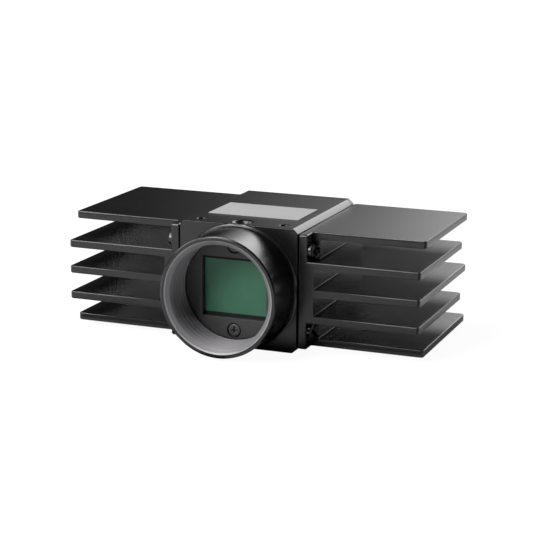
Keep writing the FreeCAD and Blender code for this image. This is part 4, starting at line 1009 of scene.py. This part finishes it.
class Studio:
    """Floor, light and camera."""

    CENTRE = Vector((0.0, 0.045, 0.0))
    FLOOR_Z = -0.0251
    FLOOR_REACH = 6.0
    FLOOR_GREY = 0.76
    SHADOW_GREY = 0.09
    FLOOR_FADE = (0.15, 0.6, 0.95)
    CARD_LIFT = 0.0002
    PAINTED_SHADE_GREY = 0.003
    WORLD_LIGHT = 0.01
    LAMPS = (
        Lamp("top_box", -55.0, 64.0, 1.0, (0.42, 0.62), 6.5),
        Lamp("front_left_box", -34.0, 31.0, 1.2, (0.5, 0.5), 9.2),
        Lamp("left_box", -98.0, 32.0, 1.0, (0.5, 0.5), 3.0),
        Lamp("front_strip", -19.0, 42.0, 1.2, (0.12, 0.6), 4.2),
    )
    PANEL_AZIMUTH = 5.0
    PANEL_ELEVATION = 24.0
    PANEL_DISTANCE = 1.2
    PANEL_REACH = (-27.0, 36.5)
    PANEL_PEAK = 4.1
    PANELS = (
        Panel("back_diffuser_low", 3.5, 14.0,
              ((-16.0, 0.0), (-12.0, 0.1), (-6.0, 0.2), (2.0, 0.18), (8.0, 0.22), (14.0, 0.42),
               (20.0, 0.6))),
        Panel("back_diffuser_high", 14.0, 44.0,
              ((-27.0, 0.0), (-23.0, 0.028), (-20.0, 0.085), (-17.0, 0.15), (-14.0, 0.225),
               (-10.0, 0.43), (-6.0, 0.8), (-1.0, 1.0), (4.0, 1.0), (12.0, 0.9),
               (36.0, 0.78))),
    )
    # Black cards, seen only in reflections, paint shade on the floor near the part and to its
    # right.
    CARDS = (
        Card("black_card_right", (0.09, -0.14), (0.3, 0.0)),
        Card("black_card_near_left", (-0.09, -0.008), (-0.027, 0.018)),
        Card("black_card_near_mount", (-0.02, -0.008), (0.003, 0.004)),
        Card("black_card_near_right", (0.022, -0.008), (0.09, 0.018)),
    )
    FOCAL_MM = 110.17
    SENSOR_MM = 36.0
    AZIMUTH = 21.1113
    ELEVATION = 13.5442
    ROLL = 0.4930
    PLACE_MM = (245.544, -574.382, 159.781)

    def build(self) -> None:
        """Build the studio."""
        self._world()
        self._floor()
        for panel in self.PANELS:
            self._panel(panel)
        for card in self.CARDS:
            self._card(card)
        for lamp in self.LAMPS:
            self._lamp(lamp)
        self._camera()
        bpy.context.scene.view_settings.view_transform = "Standard"

    @staticmethod
    def _show_backdrop(tree: bpy.types.NodeTree, kind: str, otherwise: bpy.types.NodeSocket,
                       backdrop: bpy.types.NodeSocket) -> None:
        """Show the white backdrop to the camera and through glass.

        Reflections see the staged back diffusers instead, which are the bright part of the
        photograph's studio; the rest of it was dark, or the black faces would be grey.

        Args:
            tree: Nodes of the world or the floor.
            kind: Class name of their output node.
            otherwise: Shader for all other rays.
            backdrop: Shader of the backdrop.
        """
        path = add_node(tree, "ShaderNodeLightPath").outputs
        seen = add_node(tree, "ShaderNodeMath", path["Is Camera Ray"],
                        path["Is Transmission Ray"], settings={"operation": "MAXIMUM"})
        mix = add_node(tree, "ShaderNodeMixShader", seen.outputs["Value"], otherwise, backdrop)
        add_node(tree, kind, mix.outputs["Shader"])

    @staticmethod
    def _stage_card(material: bpy.types.Material, name: str, low: Pair, high: Pair,
                    level: float) -> bpy.types.Object:
        """Put a level rectangle into the scene that isn't part of the camera.

        Args:
            material: Its material.
            name: Its name.
            low: X and Y of one corner.
            high: X and Y of the opposite corner.
            level: Z of the rectangle.

        Returns:
            The new object.
        """
        work = bmesh.new()
        (left, near), (right, far) = low, high
        work.faces.new([work.verts.new(corner) for corner in (
            (left, near, level), (right, near, level), (right, far, level), (left, far, level))])
        mesh = to_mesh(work, name)
        mesh.materials.append(material)
        thing = link_object(name, mesh)
        return thing

    def _world(self) -> None:
        """White behind the part, dim grey for everything that lights it."""
        world = bpy.data.worlds.new("studio")
        bpy.context.scene.world = world
        world.use_nodes = True
        tree = world.node_tree
        tree.nodes.clear()
        dim, white = (add_node(tree, "ShaderNodeBackground", WHITE, strength)
                      for strength in (self.WORLD_LIGHT, 1.0))
        self._show_backdrop(tree, "ShaderNodeOutputWorld", dim.outputs["Background"],
                            white.outputs["Background"])

    def _floor(self) -> None:
        """Pale floor that the part rests on, and that fades to white away from it."""
        material, tree = new_material("pale_studio_floor")
        paint, veil = (add_node(tree, "ShaderNodeBsdfDiffuse", (grey, grey, grey, 1.0))
                       for grey in (self.FLOOR_GREY, self.SHADOW_GREY))
        point = add_node(tree, "ShaderNodeTexCoord").outputs["Object"]
        away = add_node(tree, "ShaderNodeVectorMath", point, settings={"operation": "LENGTH"})
        level = add_node(tree, "ShaderNodeMapRange", away.outputs["Value"], *self.FLOOR_FADE, 1.0)
        glow = add_node(tree, "ShaderNodeEmission", WHITE, level.outputs["Result"])
        seen = add_node(tree, "ShaderNodeAddShader", glow.outputs["Emission"],
                        veil.outputs["BSDF"])
        self._show_backdrop(tree, "ShaderNodeOutputMaterial", paint.outputs["BSDF"],
                            seen.outputs["Shader"])
        material.cycles.emission_sampling = "NONE"
        self._stage_card(material, "floor", (-self.FLOOR_REACH,) * 2, (self.FLOOR_REACH,) * 2,
                         self.FLOOR_Z)

    @staticmethod
    def _outward(azimuth: float, elevation: float) -> Vector:
        """Unit vector at an azimuth from -Y towards +X and an elevation, in degrees."""
        turn, rise = math.radians(azimuth), math.radians(elevation)
        return Vector((math.sin(turn) * math.cos(rise), -math.cos(turn) * math.cos(rise),
                       math.sin(rise)))

    def _on_panel(self, degrees: float, centre: float) -> float:
        """Where a direction meets the diffusers' plane, from the direction of its centre."""
        return self.PANEL_DISTANCE * math.tan(math.radians(degrees - centre))

    def _panel(self, panel: Panel) -> None:
        """Make one diffuser behind the part.

        Args:
            panel: The diffuser.
        """
        left, right = (self._on_panel(angle, self.PANEL_AZIMUTH) for angle in self.PANEL_REACH)
        low, high = (self._on_panel(angle, self.PANEL_ELEVATION)
                     for angle in (panel.low, panel.high))
        material, tree = new_material(panel.name + "_glow")
        point = add_node(tree, "ShaderNodeTexCoord").outputs["Object"]
        parts = add_node(tree, "ShaderNodeSeparateXYZ", point)
        place = add_node(tree, "ShaderNodeMapRange", parts.outputs["X"], left, right, 0.0, 1.0)
        ramp = add_node(tree, "ShaderNodeValToRGB", place.outputs["Result"])
        stops = ramp.color_ramp.elements
        stops.remove(stops[1])
        for number, (azimuth, share) in enumerate(panel.shares):
            position = (self._on_panel(azimuth, self.PANEL_AZIMUTH) - left) / (right - left)
            position = min(max(position, 0.0), 1.0)
            stop = stops.new(position) if number else stops[0]
            stop.position = position
            stop.color = (share, share, share, 1.0)
        glow = add_node(tree, "ShaderNodeEmission", ramp.outputs["Color"], self.PANEL_PEAK)
        add_node(tree, "ShaderNodeOutputMaterial", glow.outputs["Emission"])
        thing = self._stage_card(material, panel.name, (left, low), (right, high), 0.0)
        out = self._outward(180.0 - self.PANEL_AZIMUTH, self.PANEL_ELEVATION)
        thing.location = self.CENTRE + out * self.PANEL_DISTANCE
        thing.rotation_mode = "QUATERNION"
        thing.rotation_quaternion = out.to_track_quat("-Z", "Y")
        thing.visible_camera = False

    def _card(self, card: Card) -> None:
        """Lay one black card on the floor.

        Args:
            card: The card.
        """
        material, tree = new_material(card.name + "_velvet")
        grey = self.PAINTED_SHADE_GREY
        painted_shade = add_node(tree, "ShaderNodeBsdfDiffuse", (grey, grey, grey, 1.0))
        add_node(tree, "ShaderNodeOutputMaterial", painted_shade.outputs["BSDF"])
        thing = self._stage_card(material, card.name, card.low, card.high,
                                 self.FLOOR_Z + self.CARD_LIFT)
        thing.visible_camera = False
        thing.visible_shadow = False

    def _lamp(self, lamp: Lamp) -> None:
        """Make one soft box.

        Args:
            lamp: The soft box.
        """
        data = bpy.data.lights.new(lamp.name, "AREA")
        data.shape = "RECTANGLE"
        data.size, data.size_y = lamp.size
        data.energy = lamp.watts
        box = link_object(lamp.name, data)
        out = self._outward(lamp.azimuth, lamp.elevation)
        box.location = self.CENTRE + out * lamp.distance
        box.rotation_mode = "QUATERNION"
        box.rotation_quaternion = (-out).to_track_quat("-Z", "Y")
        box.visible_camera = False

    def _camera(self) -> None:
        """Camera at the photograph's place, angle and focal length."""
        data = bpy.data.cameras.new("photo_camera")
        data.sensor_width = self.SENSOR_MM
        data.lens = self.FOCAL_MM
        data.clip_start, data.clip_end = 0.01, 30.0
        camera = link_object("photo_camera", data)
        turn, roll = math.radians(self.AZIMUTH), math.radians(self.ROLL)
        back = self._outward(self.AZIMUTH, self.ELEVATION)
        level = Vector((math.cos(turn), math.sin(turn), 0.0))
        upright = back.cross(level)
        right = level * math.cos(roll) + upright * math.sin(roll)
        up = upright * math.cos(roll) - level * math.sin(roll)
        matrix = Matrix((right, up, back)).transposed().to_4x4()
        matrix.translation = Vector(self.PLACE_MM) * MM
        camera.matrix_world = matrix
        bpy.context.scene.camera = camera


def main() -> None:
    """Build the looks, the studio and the camera."""
    logging.basicConfig(level=logging.INFO, format="%(name)s: %(message)s")
    shop = MaterialShop()
    dress_cad_nodes(shop)
    Castings(shop).build()
    LensMount().build(shop)
    Fasteners(shop).build()
    Studio().build()


if __name__ == "__main__":
    main()
